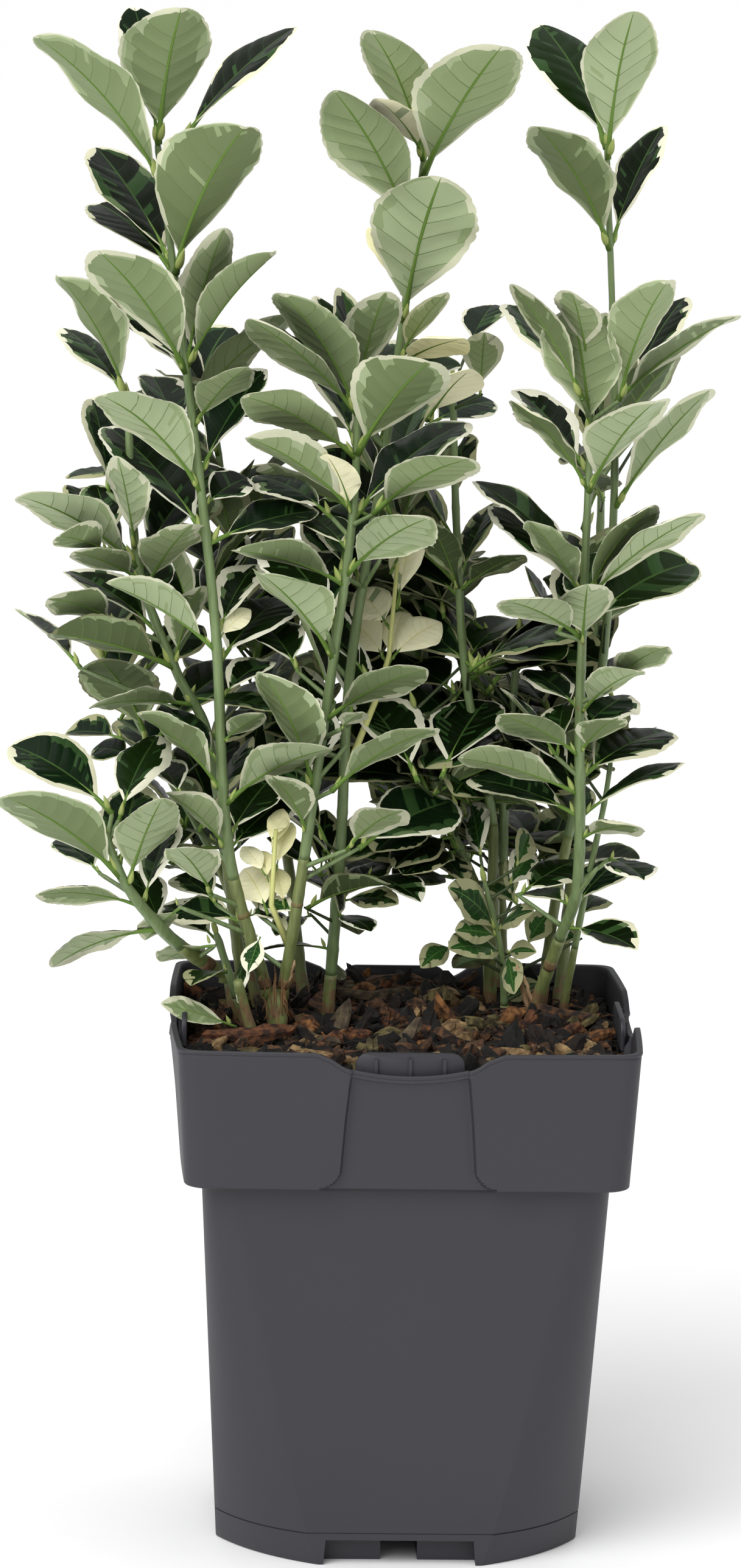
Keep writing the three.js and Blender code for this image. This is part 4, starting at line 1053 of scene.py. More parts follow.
def fill_shoot(cane, z, size, most_crossed, random):
    """A side shoot at one height, as long as the outermost leaf that finds room on it."""
    centre = cane_at(cane["way"], z)
    turn = random.uniform(0, 180) + (0 if random.random() < FILL_BACK_SHARE else 180)
    way = heading(turn, random.uniform(*FILL_RISE))
    reach = random.uniform(*FILL_REACH)
    tip = centre + reach * way
    line = np.array([mix(centre, tip, t) for t in np.linspace(0.45, 1, 6)])
    if blocked(line):
        return [], []
    height = np.clip((z - FILL_LEAF_HEIGHTS[0]) / (FILL_LEAF_HEIGHTS[1] - FILL_LEAF_HEIGHTS[0]), 0, 1)
    length = mix(*FILL_LEAF, height) * size
    placed = []
    outermost = 0
    stations = LONG_SHOOT if reach > LONG_REACH else SHORT_SHOOT
    for share, quarter in stations:
        for side in (0, 180):
            leaf_turn = turn + 90 + quarter + side
            away = math.sin(math.radians(leaf_turn)) > 0
            leaf_rise = random.uniform(*(FILL_RISE_AWAY if away else FILL_RISE_TOWARDS))
            found = fill_leaf(mix(centre, tip, share), leaf_turn, leaf_rise, length, most_crossed, random)
            if found:
                leaf, points = found
                space.crossed[tuple(space.cells(points).T)] = True
                placed.append(leaf)
                outermost = max(outermost, share)
    return placed, [(centre, mix(centre, tip, outermost))] if placed else []


def fill_cane(cane, growth, high, size, most_crossed, random):
    """Side shoots at small steps up one cane."""
    z = FILL_FOOT.get(cane["name"], FILL_FOOT_OTHERS) + random.uniform(0, FILL_FOOT_DRIFT)
    while z < min(high, FILL_TOPS.get(cane["name"], cane["way"][-1][2] - FILL_BELOW_TIP)):
        leaves, shoots = fill_shoot(cane, z, size, most_crossed, random)
        growth[0].extend(leaves)
        growth[1].extend(shoots)
        z += random.uniform(*FILL_STEP)


fill_random = np.random.RandomState(FILL_SEED)
for cane, growth in zip(CANES, grown):
    for _ in range(DENSE_ROUNDS.get(cane["name"], 0)):
        fill_cane(cane, growth, DENSE_TOP, DENSE_SIZE, DENSE_CROSSED, fill_random)
for cane, growth in zip(CANES, grown):
    fill_cane(cane, growth, FILL_TOP, 1, 0, fill_random)

# Looks of the leaves
LOOK_SEED = 2031
VEIN_STARTS = (0.1, 0.225, 0.35, 0.475, 0.6, 0.725)
VEIN_HALF = 0.004
FOOT_ROWS = (0.0, 0.033, 0.066)
TIP_ROWS = (0.765, 0.805, 0.845, 0.885, 0.92, 0.955, 0.98)
ROWS_BETWEEN = 3
FORWARD = 0.8
LOOK_PETIOLE = 6.2
FRESH_STALK = 0.4
RIB = 0.032
HALF_THICKNESS = 0.24
BULGE = 0.3
TOOTH = 0.022
SMALL_LEAF = 31
LARGE_FROM = 30
LARGE_TO = 43
FULL_STALK_FROM = 36
FINE_RELIEF = 0.0004


def colour(red, green, blue):
    """Plain colour from its 0 to 255 values on screen."""
    parts = [part / 255 for part in (red, green, blue)]
    parts = [part / 12.92 if part <= 0.04045 else ((part + 0.055) / 1.055) ** 2.4 for part in parts]
    return (*parts, 1.0)


def fill(tree, made, inputs):
    """Sets a node's inputs to values, or links them to other nodes' results."""
    for key, value in inputs.items():
        if isinstance(value, bpy.types.NodeSocket):
            tree.links.new(value, made.inputs[key])
        else:
            made.inputs[key].default_value = value


def node(tree, kind, result, **inputs):
    """The result of a new node; its inputs' names are written with _ for a space."""
    made = tree.nodes.new("ShaderNode" + kind)
    if kind == "Mix":
        made.data_type = "RGBA"
    fill(tree, made, {key.replace("_", " "): value for key, value in inputs.items()})
    return made.outputs[result]


def noise(tree, place, scale, detail):
    """Soft noise from 0 to 1 over a place."""
    return node(tree, "TexNoise", "Fac", Vector=place, Scale=scale, Detail=detail)


def tones(tree, share, first, second):
    """Colour that goes from one to another with a share."""
    return node(tree, "Mix", "Result", Factor=share, A=colour(*first), B=colour(*second))


def start_material(name):
    """A new material, its nodes and the place on the object."""
    material = bpy.data.materials.new(name)
    material.use_nodes = True
    return material, material.node_tree, node(material.node_tree, "TexCoord", "Object")


def finish_material(material, relief, bump, depth, inputs):
    """Sets the shader's inputs, with bump from a relief of one depth in metres."""
    tree = material.node_tree
    normal = node(tree, "Bump", "Normal", Strength=bump, Distance=depth, Height=relief)
    fill(tree, tree.nodes["Principled BSDF"], {"Normal": normal, **inputs})
    return material


def plain_material(name, base, roughness, bump=0.1, scale=900, shine=0.35, spread=0.08):
    """One base colour for the whole material; its grain is in bump and roughness only."""
    material, tree, place = start_material(name)
    grain = noise(tree, place, scale, 3)
    limits = {"To_Min": roughness - spread, "To_Max": roughness + spread}
    rough = node(tree, "MapRange", "Result", Value=grain, **limits)
    inputs = {"Base Color": base, "Specular IOR Level": shine, "Roughness": rough}
    return finish_material(material, grain, bump, FINE_RELIEF, inputs)


LEAF_COLOURS = {
    "upper_dark_1": ((9, 21, 3), 0.34),
    "upper_dark_2": ((14, 29, 5), 0.34),
    "upper_dark_3": ((20, 39, 8), 0.36),
    "upper_dark_4": ((13, 31, 13), 0.34),
    "upper_patch_1": ((46, 72, 36), 0.36),
    "upper_patch_2": ((98, 118, 78), 0.38),
    "upper_vein": ((26, 48, 22), 0.36),
    "upper_rib": ((58, 84, 40), 0.4),
    "lower_sage_1": ((129, 145, 102), 0.5),
    "lower_sage_2": ((147, 162, 118), 0.5),
    "lower_sage_3": ((168, 182, 142), 0.5),
    "lower_sage_4": ((118, 133, 91), 0.5),
    # The next two sages are painted shade: darker undersides for leaves deep in the crown
    "lower_sage_5": ((98, 112, 74), 0.55),
    "lower_sage_6": ((82, 96, 62), 0.55),
    "lower_band_1": ((150, 166, 122), 0.5),
    "lower_band_2": ((170, 183, 143), 0.5),
    "lower_vein": ((110, 129, 80), 0.55),
    "lower_rib": ((104, 134, 62), 0.5),
    "cream_1": ((230, 228, 204), 0.45),
    "cream_2": ((222, 220, 190), 0.45),
    "cream_3": ((236, 234, 214), 0.45),
    # Painted shade: a dimmer cream margin for leaves deep in the crown
    "cream_4": ((168, 168, 128), 0.45),
    "cream_lower": ((212, 214, 184), 0.5),
    # Painted shade: the darker lower side of the dimmer margin of leaves deep in the crown
    "cream_deep": ((134, 137, 102), 0.5),
    "yellow_cream_1": ((252, 247, 196), 0.45),
    "yellow_cream_2": ((254, 250, 212), 0.45),
    "yellow_cream_vein": ((240, 232, 168), 0.45),
    "fresh_1": ((30, 60, 24), 0.35),
    "fresh_2": ((46, 82, 36), 0.35),
    "fresh_lower": ((142, 172, 126), 0.5),
    "fresh_vein": ((84, 124, 60), 0.4),
}
leaf_names = list(LEAF_COLOURS)
slot_of = {name: i for i, name in enumerate(leaf_names)}
leaf_materials = [
    plain_material("leaf_" + name, colour(*rgb), rough, bump=0.16, scale=700, shine=0.11)
    for name, (rgb, rough) in LEAF_COLOURS.items()
]


def leaf_rows(small):
    """Shares of the blade where rows of faces start, and which rows are veins."""
    rows = list(FOOT_ROWS)
    veins = []
    between_veins = 1 if small else ROWS_BETWEEN
    for i, start in enumerate(VEIN_STARTS):
        veins.append(len(rows))
        rows += [start - VEIN_HALF, start + VEIN_HALF]
        if i + 1 < len(VEIN_STARTS):
            gap = VEIN_STARTS[i + 1] - start
            rows += [start + gap * (k + 1) / (between_veins + 1) for k in range(between_veins)]
    rows += [share for k, share in enumerate(TIP_ROWS) if not small or k % 2]
    return np.array(rows + [1.0]), veins


def smooth_noise(random, count, step, size):
    """Even random line: values at every few rows, joined by straight stretches."""
    knots = random.normal(0, size, count // step + 2)
    return np.interp(np.arange(count) / step, np.arange(len(knots)), knots)


def ease(t):
    """Soft start and end for shares from 0 to 1."""
    t = np.clip(t, 0, 1)
    return t * t * (3 - 2 * t)


def leaf_outline(leaf):
    """Skew of a blade, and its fullness below and above its widest place: long leaves have round tips."""
    large = float(np.clip((leaf["length"] - LARGE_FROM) / (LARGE_TO - LARGE_FROM), 0, 1))
    return mix(1.08, 1.3, large), (mix(0.92, 0.76, large), mix(0.74, 0.55, large))


def blade_half(q, skew, fullness):
    """Half width of a blade at shares of its length: a wedge below, rounder towards the tip."""
    q = np.clip(q, 0, 1)
    power = mix(fullness[0], fullness[1], ease((q - 0.3) / 0.4))
    return np.maximum(np.sin(math.pi * q**skew), 0) ** power


def leaf_borders(leaf, rows, veins, random):
    """Where green ends and cream starts on both sides of a leaf, as shares of its half width."""
    count = len(rows)
    skew, fullness = leaf_outline(leaf)
    half = blade_half(rows + FORWARD * rows * (1 - rows), skew, fullness)
    half = np.maximum(half * leaf["width"] / 2, 1.5)
    sides = []
    for _ in range(2):
        margin = random.uniform(0.4, 1.3) * (1.8 if leaf["wide_margin"] else 1)
        margin += 0.5 if leaf["look"] == "fresh" else 0
        sector = np.zeros(count)
        starts = [0] + [v + 1 for v in veins] + [count]
        for a, b in zip(starts, starts[1:]):
            sector[a:b] = random.normal(0, 0.35) + (1.1 if random.random() < 0.12 else 0)
        line = margin + sector + smooth_noise(random, count, 2, 0.25) + 1.0 * np.clip(rows - 0.72, 0, 1)
        green = np.clip(1 - np.maximum(line, 0.3) / half, 0.25, 0.965)
        band = random.uniform(0.06, 0.2) + np.abs(smooth_noise(random, count, 3, 0.07))
        sides.append((green, np.clip(green - band, 0.15, 0.95)))
    return sides


def stalk_length(leaf):
    """Length of a leaf's stalk, shorter on small and on fresh leaves."""
    short = FRESH_STALK if leaf["look"] == "fresh" else 1
    return short * LOOK_PETIOLE * min(1, leaf["length"] / FULL_STALK_FROM)


def leaf_mesh(leaf, random):
    """Points and faces of one leaf: two skins that meet at a toothed edge, with a rib below."""
    small = leaf["length"] < SMALL_LEAF or leaf["simple"]
    skew, fullness = leaf_outline(leaf)
    rows, veins = leaf_rows(small)
    count = len(rows)
    petiole = stalk_length(leaf) / leaf["length"]
    borders = leaf_borders(leaf, rows, veins, random)
    columns = []
    for side, (green, inner) in zip((-1, 1), borders):
        edge = np.ones(count)
        spots = [RIB + 0 * inner, inner * 0.5, inner, green, green + (1 - green) * 0.55, edge]
        if small:
            spots = [RIB + 0 * inner, inner, green, edge]
        columns.append([side * spot for spot in spots])
    layout = np.array(columns[0][::-1] + [np.zeros(count)] + columns[1]).T
    width = layout.shape[1]
    outward = np.abs(layout)
    shrink = np.zeros(count)
    for v in veins:
        shrink[v], shrink[v + 1] = 1, -1
    q = rows[:, None] + VEIN_HALF * 0.6 * shrink[:, None] * outward
    q = q + FORWARD * q * (1 - q) * outward**1.2
    blade = blade_half(q, skew, fullness)
    blade[0] = blade[-1] = 0
    teeth = np.zeros(count)
    teeth[2:-1] = random.uniform(0.3, 1.2, count - 3) * np.where(np.arange(count - 3) % 2, 1, -1)
    for v in veins:
        teeth[v] = teeth[v + 1] = 0.8
    blade = blade * (1 + TOOTH * teeth[:, None] * (outward > 0.99))
    half = leaf["width"] / 2 * blade
    share = petiole + (1 - petiole) * q
    middle, side, normal = leaf_frame(leaf, share)
    fold = math.radians(leaf["fold"])
    reach = half * layout
    curve = outward**1.25
    lift = half * curve * math.sin(fold) - half * 0.28 * leaf["cup"] * outward**3
    between_veins = np.zeros(count)
    for a, b in zip(veins, veins[1:]):
        inside = np.arange(a + 2, b)
        between_veins[inside] = np.sin(math.pi * (inside - a - 1) / (b - a - 1))
    bulge = BULGE * leaf["width"] / 22 * between_veins[:, None]
    lift = lift + bulge * np.sin(math.pi * outward) * (blade > 0)
    wave = np.sin(leaf["phase"] + 2 * math.pi * leaf["waves"] * q + 1.4 * np.sign(layout))
    lift = lift + leaf["ruffle"] * wave * outward**2 * blade
    surface = middle + side * (reach * math.cos(fold))[..., None] + normal * lift[..., None]
    thick = HALF_THICKNESS * (1 - outward**4) * np.minimum(1, blade * 3)
    upper = surface + normal * thick[..., None]
    lower = surface - normal * thick[..., None]
    grid = np.arange(count * width).reshape(count, width)
    grid[0] = grid[0, 0]
    grid[-1] = grid[-1, 0]
    strips = width - 1
    zone = zones_of(strips)
    kinds = leaf_kinds(leaf, rows, veins, zone, random)
    quads = []
    slots = []
    for layer, points in enumerate((upper, lower)):
        a, b = grid[:-1, :-1], grid[:-1, 1:]
        c, d = grid[1:, 1:], grid[1:, :-1]
        order = (a, b, c, d) if layer == 0 else (a, d, c, b)
        quads.append(np.stack(order, -1).reshape(-1, 4) + layer * count * width)
        slots.append(kinds[layer].reshape(-1))
    points = np.concatenate([upper.reshape(-1, 3), lower.reshape(-1, 3)])
    return points, np.concatenate(quads), np.concatenate(slots)


def zones_of(strips):
    """Zone of each strip of faces across a leaf: 0 rib, 1 green, 2 band, 3 cream."""
    side = [0, 1, 1, 2, 3, 3] if strips == 12 else [0, 1, 2, 3]
    return np.array(side[::-1] + side)


def leaf_kinds(leaf, rows, veins, zone, random):
    """Material of each face of a leaf, on its upper and on its lower skin."""
    strips = len(zone)
    count = len(rows) - 1
    is_vein = np.zeros(count, bool)
    is_vein[veins] = True
    sector = np.zeros(count, int)
    for v in veins:
        sector[v:] += 1
    tip = rows[:-1] > 1 - leaf["cream_tip"]
    patch = random.random((2, len(veins) + 1))
    side = (np.arange(strips) >= strips // 2).astype(int)
    patch = patch[side][:, sector].T
    flecks = random.random((count, strips))
    zone = np.broadcast_to(zone, (count, strips)).copy()
    zone[tip & (np.arange(count) > 0)] = np.where(zone[tip] == 0, 0, 3)
    upper = np.empty((count, strips), int)
    lower = np.empty((count, strips), int)
    look = leaf["look"]
    if look == "cream":
        upper[:] = slot_of["yellow_cream_%d" % leaf["pale"]]
        upper[is_vein] = slot_of["yellow_cream_vein"]
        upper[zone == 0] = slot_of["yellow_cream_vein"]
        streak = (patch < 0.2) & (zone == 1) & leaf["streaked"]
        upper[streak] = slot_of["lower_band_2"]
        return upper, upper.copy()
    cream = slot_of["cream_%d" % leaf["cream"]]
    if look == "fresh":
        upper[:] = slot_of["fresh_%d" % leaf["pale"]]
        upper[(zone == 2) & (patch < 0.5)] = slot_of["fresh_2"]
        upper[is_vein] = slot_of["fresh_vein"]
        lower[:] = slot_of["fresh_lower"]
        lower[is_vein] = slot_of["fresh_vein"]
        upper[zone == 0] = lower[zone == 0] = slot_of["fresh_vein"]
    else:
        upper[:] = slot_of["upper_dark_%d" % leaf["dark"]]
        upper[(zone == 2) & (patch < 0.42)] = slot_of["upper_patch_1"]
        upper[(zone == 2) & (patch < 0.14)] = slot_of["upper_patch_2"]
        upper[(zone == 1) & ((patch < 0.05) | (flecks < 0.05))] = slot_of["upper_patch_1"]
        upper[is_vein & (zone[:, strips // 2] < 3)] = slot_of["upper_vein"]
        upper[zone == 0] = slot_of["upper_rib"]
        lower[:] = slot_of["lower_sage_%d" % leaf["sage"]]
        lower[(zone == 2) & (patch < 0.7)] = slot_of["lower_band_1"]
        lower[(zone == 2) & (patch < 0.25)] = slot_of["lower_band_2"]
        lower[(zone == 1) & (flecks < 0.02)] = slot_of["lower_band_1"]
        lower[is_vein] = slot_of["lower_vein"]
        lower[zone == 0] = slot_of["lower_rib"]
    upper[zone == 3] = cream
    # Margins of leaves deep in the crown get the darker lower cream: painted shade
    lower[zone == 3] = slot_of["cream_deep" if leaf["cream"] == 4 else "cream_lower"]
    if strips == 12 and look != "fresh":
        soft = np.zeros(strips, bool)
        soft[[1, -2]] = not leaf["wide_margin"]
        lower[soft & (zone == 3) & (patch < 0.8)] = slot_of["lower_band_2"]
    return upper, lower


def ring_mesh(rings, ends):
    """Closed mesh through an array of rings, with a fan from an end point over the first and the last."""
    count, sides = rings.shape[:2]
    grid = np.arange(count * sides).reshape(count, sides)
    following = np.roll(grid, -1, 1)
    quads = np.stack([grid[:-1], following[:-1], following[1:], grid[1:]], -1).reshape(-1, 4)
    end = np.full(sides, count * sides)
    low = np.stack([following[0], grid[0], end, end], -1)
    high = np.stack([grid[-1], following[-1], end + 1, end + 1], -1)
    return np.concatenate([rings.reshape(-1, 3), ends]), np.concatenate([quads, low, high])


def tube(path, radii, sides):
    """Points and faces of a round tube along a path."""
    path = np.asarray(path, float)
    along = np.gradient(path, axis=0)
    along /= np.linalg.norm(along, axis=1)[:, None]
    guide = np.array([0.0, 1.0, 0.0]) if abs(along[0][1]) < 0.8 else np.array([1.0, 0.0, 0.0])
    across = np.cross(guide, along)
    across /= np.linalg.norm(across, axis=1)[:, None]
    back = np.cross(along, across)
    angles = (2 * math.pi * np.arange(sides) / sides)[None, :, None]
    radii = np.asarray(radii, float)
    if radii.ndim == 1:
        radii = np.repeat(radii[:, None], sides, 1)
    out = across[:, None] * np.cos(angles) + back[:, None] * np.sin(angles)
    return ring_mesh(path[:, None] + radii[..., None] * out, path[[0, -1]])


def petiole_mesh(leaf):
    """Leaf stalk that runs on under the blade as its midrib."""
    shares = np.linspace(0, 0.9, 12)
    middle, _, normal = leaf_frame(leaf, shares)
    stalk = stalk_length(leaf) / leaf["length"]
    scale = leaf["width"] / 24
    radii = np.interp(shares, [0, stalk, stalk * 2, 0.5, 0.9], [0.95, 0.72, 0.52, 0.32, 0.12]) * scale
    under = np.interp(shares, [0, stalk, 0.5, 0.9], [0, 0.05, 0.2, 0.22])
    return tube(middle - normal * under[:, None], radii, 5)


class Builder:
    """Collects points, faces and material slots for one joined mesh."""

    def __init__(self):
        self.points = []
        self.faces = []
        self.slots = []
        self.count = 0

    def add(self, points, faces, slots=0):
        self.points.append(np.asarray(points, float))
        self.faces.append(np.asarray(faces, int) + self.count)
        self.slots.append(np.broadcast_to(np.asarray(slots, int), len(faces)))
        self.count += len(points)

    def triangles(self):
        return sum(triangles_in(faces) for faces in self.faces)

    def make(self, name, materials, flat=False):
        parts = [np.concatenate(part) for part in (self.points, self.faces, self.slots)]
        return mesh_object(name, *parts, materials, flat)


def triangles_in(faces):
    same = (faces == np.roll(faces, -1, 1)).any(1)
    return int(2 * len(faces) - same.sum())


def mesh_object(name, points, faces, slots, materials, flat):
    """Object from points in millimetres and faces of four corners, a repeated corner making three."""
    keep = faces != np.roll(faces, -1, 1)
    sizes = keep.sum(1)
    good = sizes >= 3
    faces, keep, sizes, slots = faces[good], keep[good], sizes[good], slots[good]
    used, corners = np.unique(faces[keep], return_inverse=True)
    points = points[used]
    mesh = bpy.data.meshes.new(name)
    mesh.vertices.add(len(points))
    mesh.vertices.foreach_set("co", to_metres(points).astype(np.float32).ravel())
    mesh.loops.add(len(corners))
    mesh.loops.foreach_set("vertex_index", corners.astype(np.int32))
    mesh.polygons.add(len(faces))
    starts = np.concatenate([[0], np.cumsum(sizes)[:-1]])
    mesh.polygons.foreach_set("loop_start", starts.astype(np.int32))
    for material in materials:
        mesh.materials.append(material)
    mesh.polygons.foreach_set("material_index", slots.astype(np.int32))
    mesh.update(calc_edges=True)
    mesh.validate()
    mesh.polygons.foreach_set("use_smooth", np.full(len(mesh.polygons), not flat))
    mesh.update()
    made = bpy.data.objects.new(name, mesh)
    bpy.context.scene.collection.objects.link(made)
    return made

# Dealing out looks to the leaves
WIDE_MARGINS = 0.36
STREAKED = 0.4
LOOK_WIDTH = 0.9
SEEN_WIDTH = 1.06
# Leaves this far back and below this height may get darker sage and dimmer cream, as painted shade
SHADE_PAINT_FROM = 4
SHADE_PAINT_TO = 30
SHADE_PAINT_TOP = 330
SIMPLE_FROM = 4
PIECE_LIMIT = 180000


def dress_leaf(leaf, cane, random):
    if not leaf.get("look"):
        leaf["look"] = "fresh" if cane["name"] == "low_fresh" else "green"
    # Leaves deep in the crown get darker sage and dimmer cream: painted shade
    depth = (leaf["base"][1] - SHADE_PAINT_FROM) / (SHADE_PAINT_TO - SHADE_PAINT_FROM)
    deep = leaf["base"][2] < SHADE_PAINT_TOP and random.random() < depth
    leaf["width"] *= SEEN_WIDTH if leaf.get("seen") else LOOK_WIDTH
    leaf["dark"] = random.randint(1, 5)
    leaf["sage"] = random.randint(5, 7) if deep else random.randint(1, 5)
    leaf["cream"] = 4 if deep else random.randint(1, 4)
    leaf["pale"] = random.randint(1, 3)
    leaf["phase"] = random.uniform(0, 2 * math.pi)
    leaf["waves"] = random.uniform(1.2, 2.6)
    leaf["ruffle"] = random.uniform(0.2, 0.9) * leaf["length"] / 38
    leaf["cup"] = random.uniform(-0.2, 1.1)
    leaf["cream_tip"] = random.uniform(0.015, 0.07)
    leaf["wide_margin"] = leaf["look"] == "fresh" or random.random() < WIDE_MARGINS
    leaf["streaked"] = random.random() < STREAKED
    leaf["simple"] = not leaf.get("seen") and leaf["base"][1] > SIMPLE_FROM


random = np.random.RandomState(LOOK_SEED)
leaf_pieces = []
builder = Builder()
members = []
for cane, (leaves, shoots) in zip(CANES, grown):
    made = Builder()
    for leaf in leaves:
        dress_leaf(leaf, cane, random)
        made.add(*leaf_mesh(leaf, random))
        made.add(*petiole_mesh(leaf), slot_of["lower_rib"])
    if builder.count and builder.triangles() + made.triangles() > PIECE_LIMIT:
        leaf_pieces.append((builder, members))
        builder = Builder()
        members = []
    for points, faces, slots in zip(made.points, made.faces, made.slots):
        builder.add(points, faces - faces.min(), slots)
    members.append(cane["name"] + "_leaves")
leaf_pieces.append((builder, members))


# Stems
STREAK_SCALE = (900, 900, 90)


def stem_material(name, greens, browns, brown_top, roughness):
    """Green bark with pale streaks along it, turning brown and scarred near the ground."""
    material, tree, place = start_material(name)
    streaks = noise(tree, node(tree, "Mapping", "Vector", Vector=place, Scale=STREAK_SCALE), 1, 4)
    spots = noise(tree, place, 260, 5)
    height = node(tree, "SeparateXYZ", "Z", Vector=place)
    limits = {"From_Min": brown_top[1] / 1000, "From_Max": brown_top[0] / 1000, "To_Min": 0, "To_Max": 0.42}
    near_ground = node(tree, "MapRange", "Result", Value=height, **limits)
    patchy = tree.nodes.new("ShaderNodeMath")
    fill(tree, patchy, {0: near_ground, 1: spots})
    edge = node(tree, "MapRange", "Result", Value=patchy.outputs["Value"], From_Min=0.66, From_Max=0.8)
    green = tones(tree, streaks, *greens)
    brown = tones(tree, streaks, *browns)
    bark = node(tree, "Mix", "Result", Factor=edge, A=green, B=brown)
    inputs = {"Base Color": bark, "Roughness": roughness}
    return finish_material(material, streaks, 0.35, FINE_RELIEF, inputs)


cane_bark = stem_material(
    "cane_bark", [(76, 88, 42), (138, 148, 90)], [(92, 70, 50), (142, 116, 84)], (146, 168), 0.5
)
twig_skin = stem_material(
    "twig_skin", [(80, 102, 56), (136, 156, 106)], [(110, 98, 62), (140, 122, 84)], (60, 120), 0.45
)
# Darker twig skin: painted shade for side shoots far back in the crown
shaded_skin = stem_material(
    "shaded_skin", [(38, 54, 26), (76, 92, 50)], [(66, 56, 36), (92, 80, 54)], (60, 120), 0.5
)
bud_skin = plain_material("bud_skin", colour(158, 172, 96), 0.45, bump=0.1, scale=900)
dry_wood = plain_material("dry_wood", colour(184, 152, 116), 0.7, bump=0.5, scale=500)

RING_STEP = 1.6
STEM_SIDES = 14
TWIG_SIDES = 10
NODE_SWELL = 0.1
LOOK_GIRTH = 0.8
LOOK_GIRTHS = {
    "right_rear_trunk": 0.6, "left_inner": 0.7, "rear_left": 0.7, "rear_middle": 0.66, "rear_right": 0.7,
    "right_tall": 0.68, "right_low": 0.62, "middle_tall": 0.74, "left_rear_short": 0.7,
}
NODE_REACH = 1.6
FAINT_CORNERS = 0.035
BARK_RELIEF = 0.022
DOME = np.array([0.86, 0.45])
SCAR_SPACING = 11.5
TIP_ABOVE_LEAVES = 4
CUT_SHORT = ("left_inner",)
LIMB_TOPS = {"left_inner_cane": 169}
SUNK = 2.5
SHOOT_RADII = np.array([0.95, 0.78, 0.7, 0.68, 0.72, 0.5])
SHADED_FROM = 14
SHADED_GIRTH = 0.68
BUD_SHARES = np.array([0, 0.12, 0.3, 0.5, 0.7, 0.86, 1.0])
BUD_RADII = np.array([0.5, 0.86, 1, 0.9, 0.62, 0.34, 0.05])
BUD_SIDES = 7


def stem_mesh(cane, low, high, sides, scars, random, sink=0, dome=False):
    """Tube along a cane with swollen joints, faint corners and a little bark relief."""
    steps = max(3, int((high - low) / RING_STEP))
    heights = np.linspace(low, high, steps + 1)
    path = np.array([cane_at(cane["way"], z) for z in heights])
    girth = LOOK_GIRTHS.get(cane["name"], LOOK_GIRTH)
    radii = girth * np.array([cane_radius(cane, z) for z in heights])
    for scar in scars:
        radii *= 1 + NODE_SWELL * np.exp(-(((heights - scar) / NODE_REACH) ** 2))
    angles = 2 * math.pi * np.arange(sides) / sides
    corners = 1 + FAINT_CORNERS * np.cos(4 * angles)
    rough = random.normal(0, BARK_RELIEF, (len(heights), sides))
    rough = (rough + np.roll(rough, 1, 0) + np.roll(rough, -1, 0)) / 2
    radii = radii[:, None] * corners * (1 + rough)
    if sink:
        first = path[0] - np.array([0, 0, sink])
        path = np.concatenate([[first], path])
        radii = np.concatenate([radii[:1], radii])
    if dome:
        radii[-2:] *= DOME[:, None]
    return tube(path, radii, sides)


def twig_top(cane, leaves):
    """Height where a twig ends: just above its topmost leaves."""
    highest = max([leaf["base"][2] for leaf in leaves], default=0)
    return float(np.clip(highest + TIP_ABOVE_LEAVES, cane["leafy"] + 10, cane["way"][-1][2]))


canes = Builder()
twigs = Builder()
cream_twigs = Builder()
buds = Builder()
for name, cane, top in limbs:
    foot = cane["way"][0][2]
    top = LIMB_TOPS.get(name, top)
    scars = [z for z in cane.get("joints", []) if z < top]
    scars = [*np.arange(foot + 7, top - 3, SCAR_SPACING), *scars]
    sink = 0 if foot == GROUND else SUNK
    canes.add(*stem_mesh(cane, foot, top, STEM_SIDES, scars, random, sink, dome="leafy" not in cane))
for cane, (leaves, shoots) in zip(CANES, grown):
    if cane["name"] in CUT_SHORT:
        continue
    top = twig_top(cane, leaves)
    twigs.add(*stem_mesh(cane, cane["leafy"], top, TWIG_SIDES, cane["joints"], random, dome=True))
    for way in SEEN_SHOOTS.get(cane["name"], []):
        cream_twigs.add(*tube(way, np.linspace(1.1, 0.6, len(way)), 8))
    for start, end in shoots:
        along = (end - start) / np.linalg.norm(end - start)
        path = [mix(start, end + along, t) for t in np.linspace(0, 1, 6)]
        # Shoots far back get the darker skin: painted shade
        shaded = start[1] > SHADED_FROM
        twigs.add(*tube(path, SHOOT_RADII * (SHADED_GIRTH if shaded else 1), 8), int(shaded))


def bud_mesh(base, way, length, radius):
    """Pointed bud: an egg shape drawn out to its tip."""
    way = np.asarray(way, float) / np.linalg.norm(way)
    path = np.asarray(base) + way * (BUD_SHARES * length)[:, None]
    return tube(path, radius * BUD_RADII, BUD_SIDES)


for cane, (leaves, shoots) in zip(CANES, grown):
    for leaf in leaves:
        middle, _, normal = leaf_frame(leaf, np.array([0.0, 0.09]))
        out = middle[1] - middle[0]
        out[2] = 0
        out /= np.linalg.norm(out)
        size = random.uniform(0.75, 1.15) * leaf["length"] / 38
        base = middle[0] + out * (cane_radius(cane, min(middle[0][2], cane["way"][-1][2])) * 0.8)
        base = base + np.array([0, 0, 1.0 * size])
        buds.add(*bud_mesh(base, out * 0.45 + np.array([0, 0, 1]), 4.6 * size, 0.85 * size))
    if cane["name"] in CUT_SHORT:
        continue
    top = twig_top(cane, leaves)
    way = cane_direction(cane["way"], top)
    buds.add(*bud_mesh(cane_at(cane["way"], top) - way, way, 5.5, 1.0))

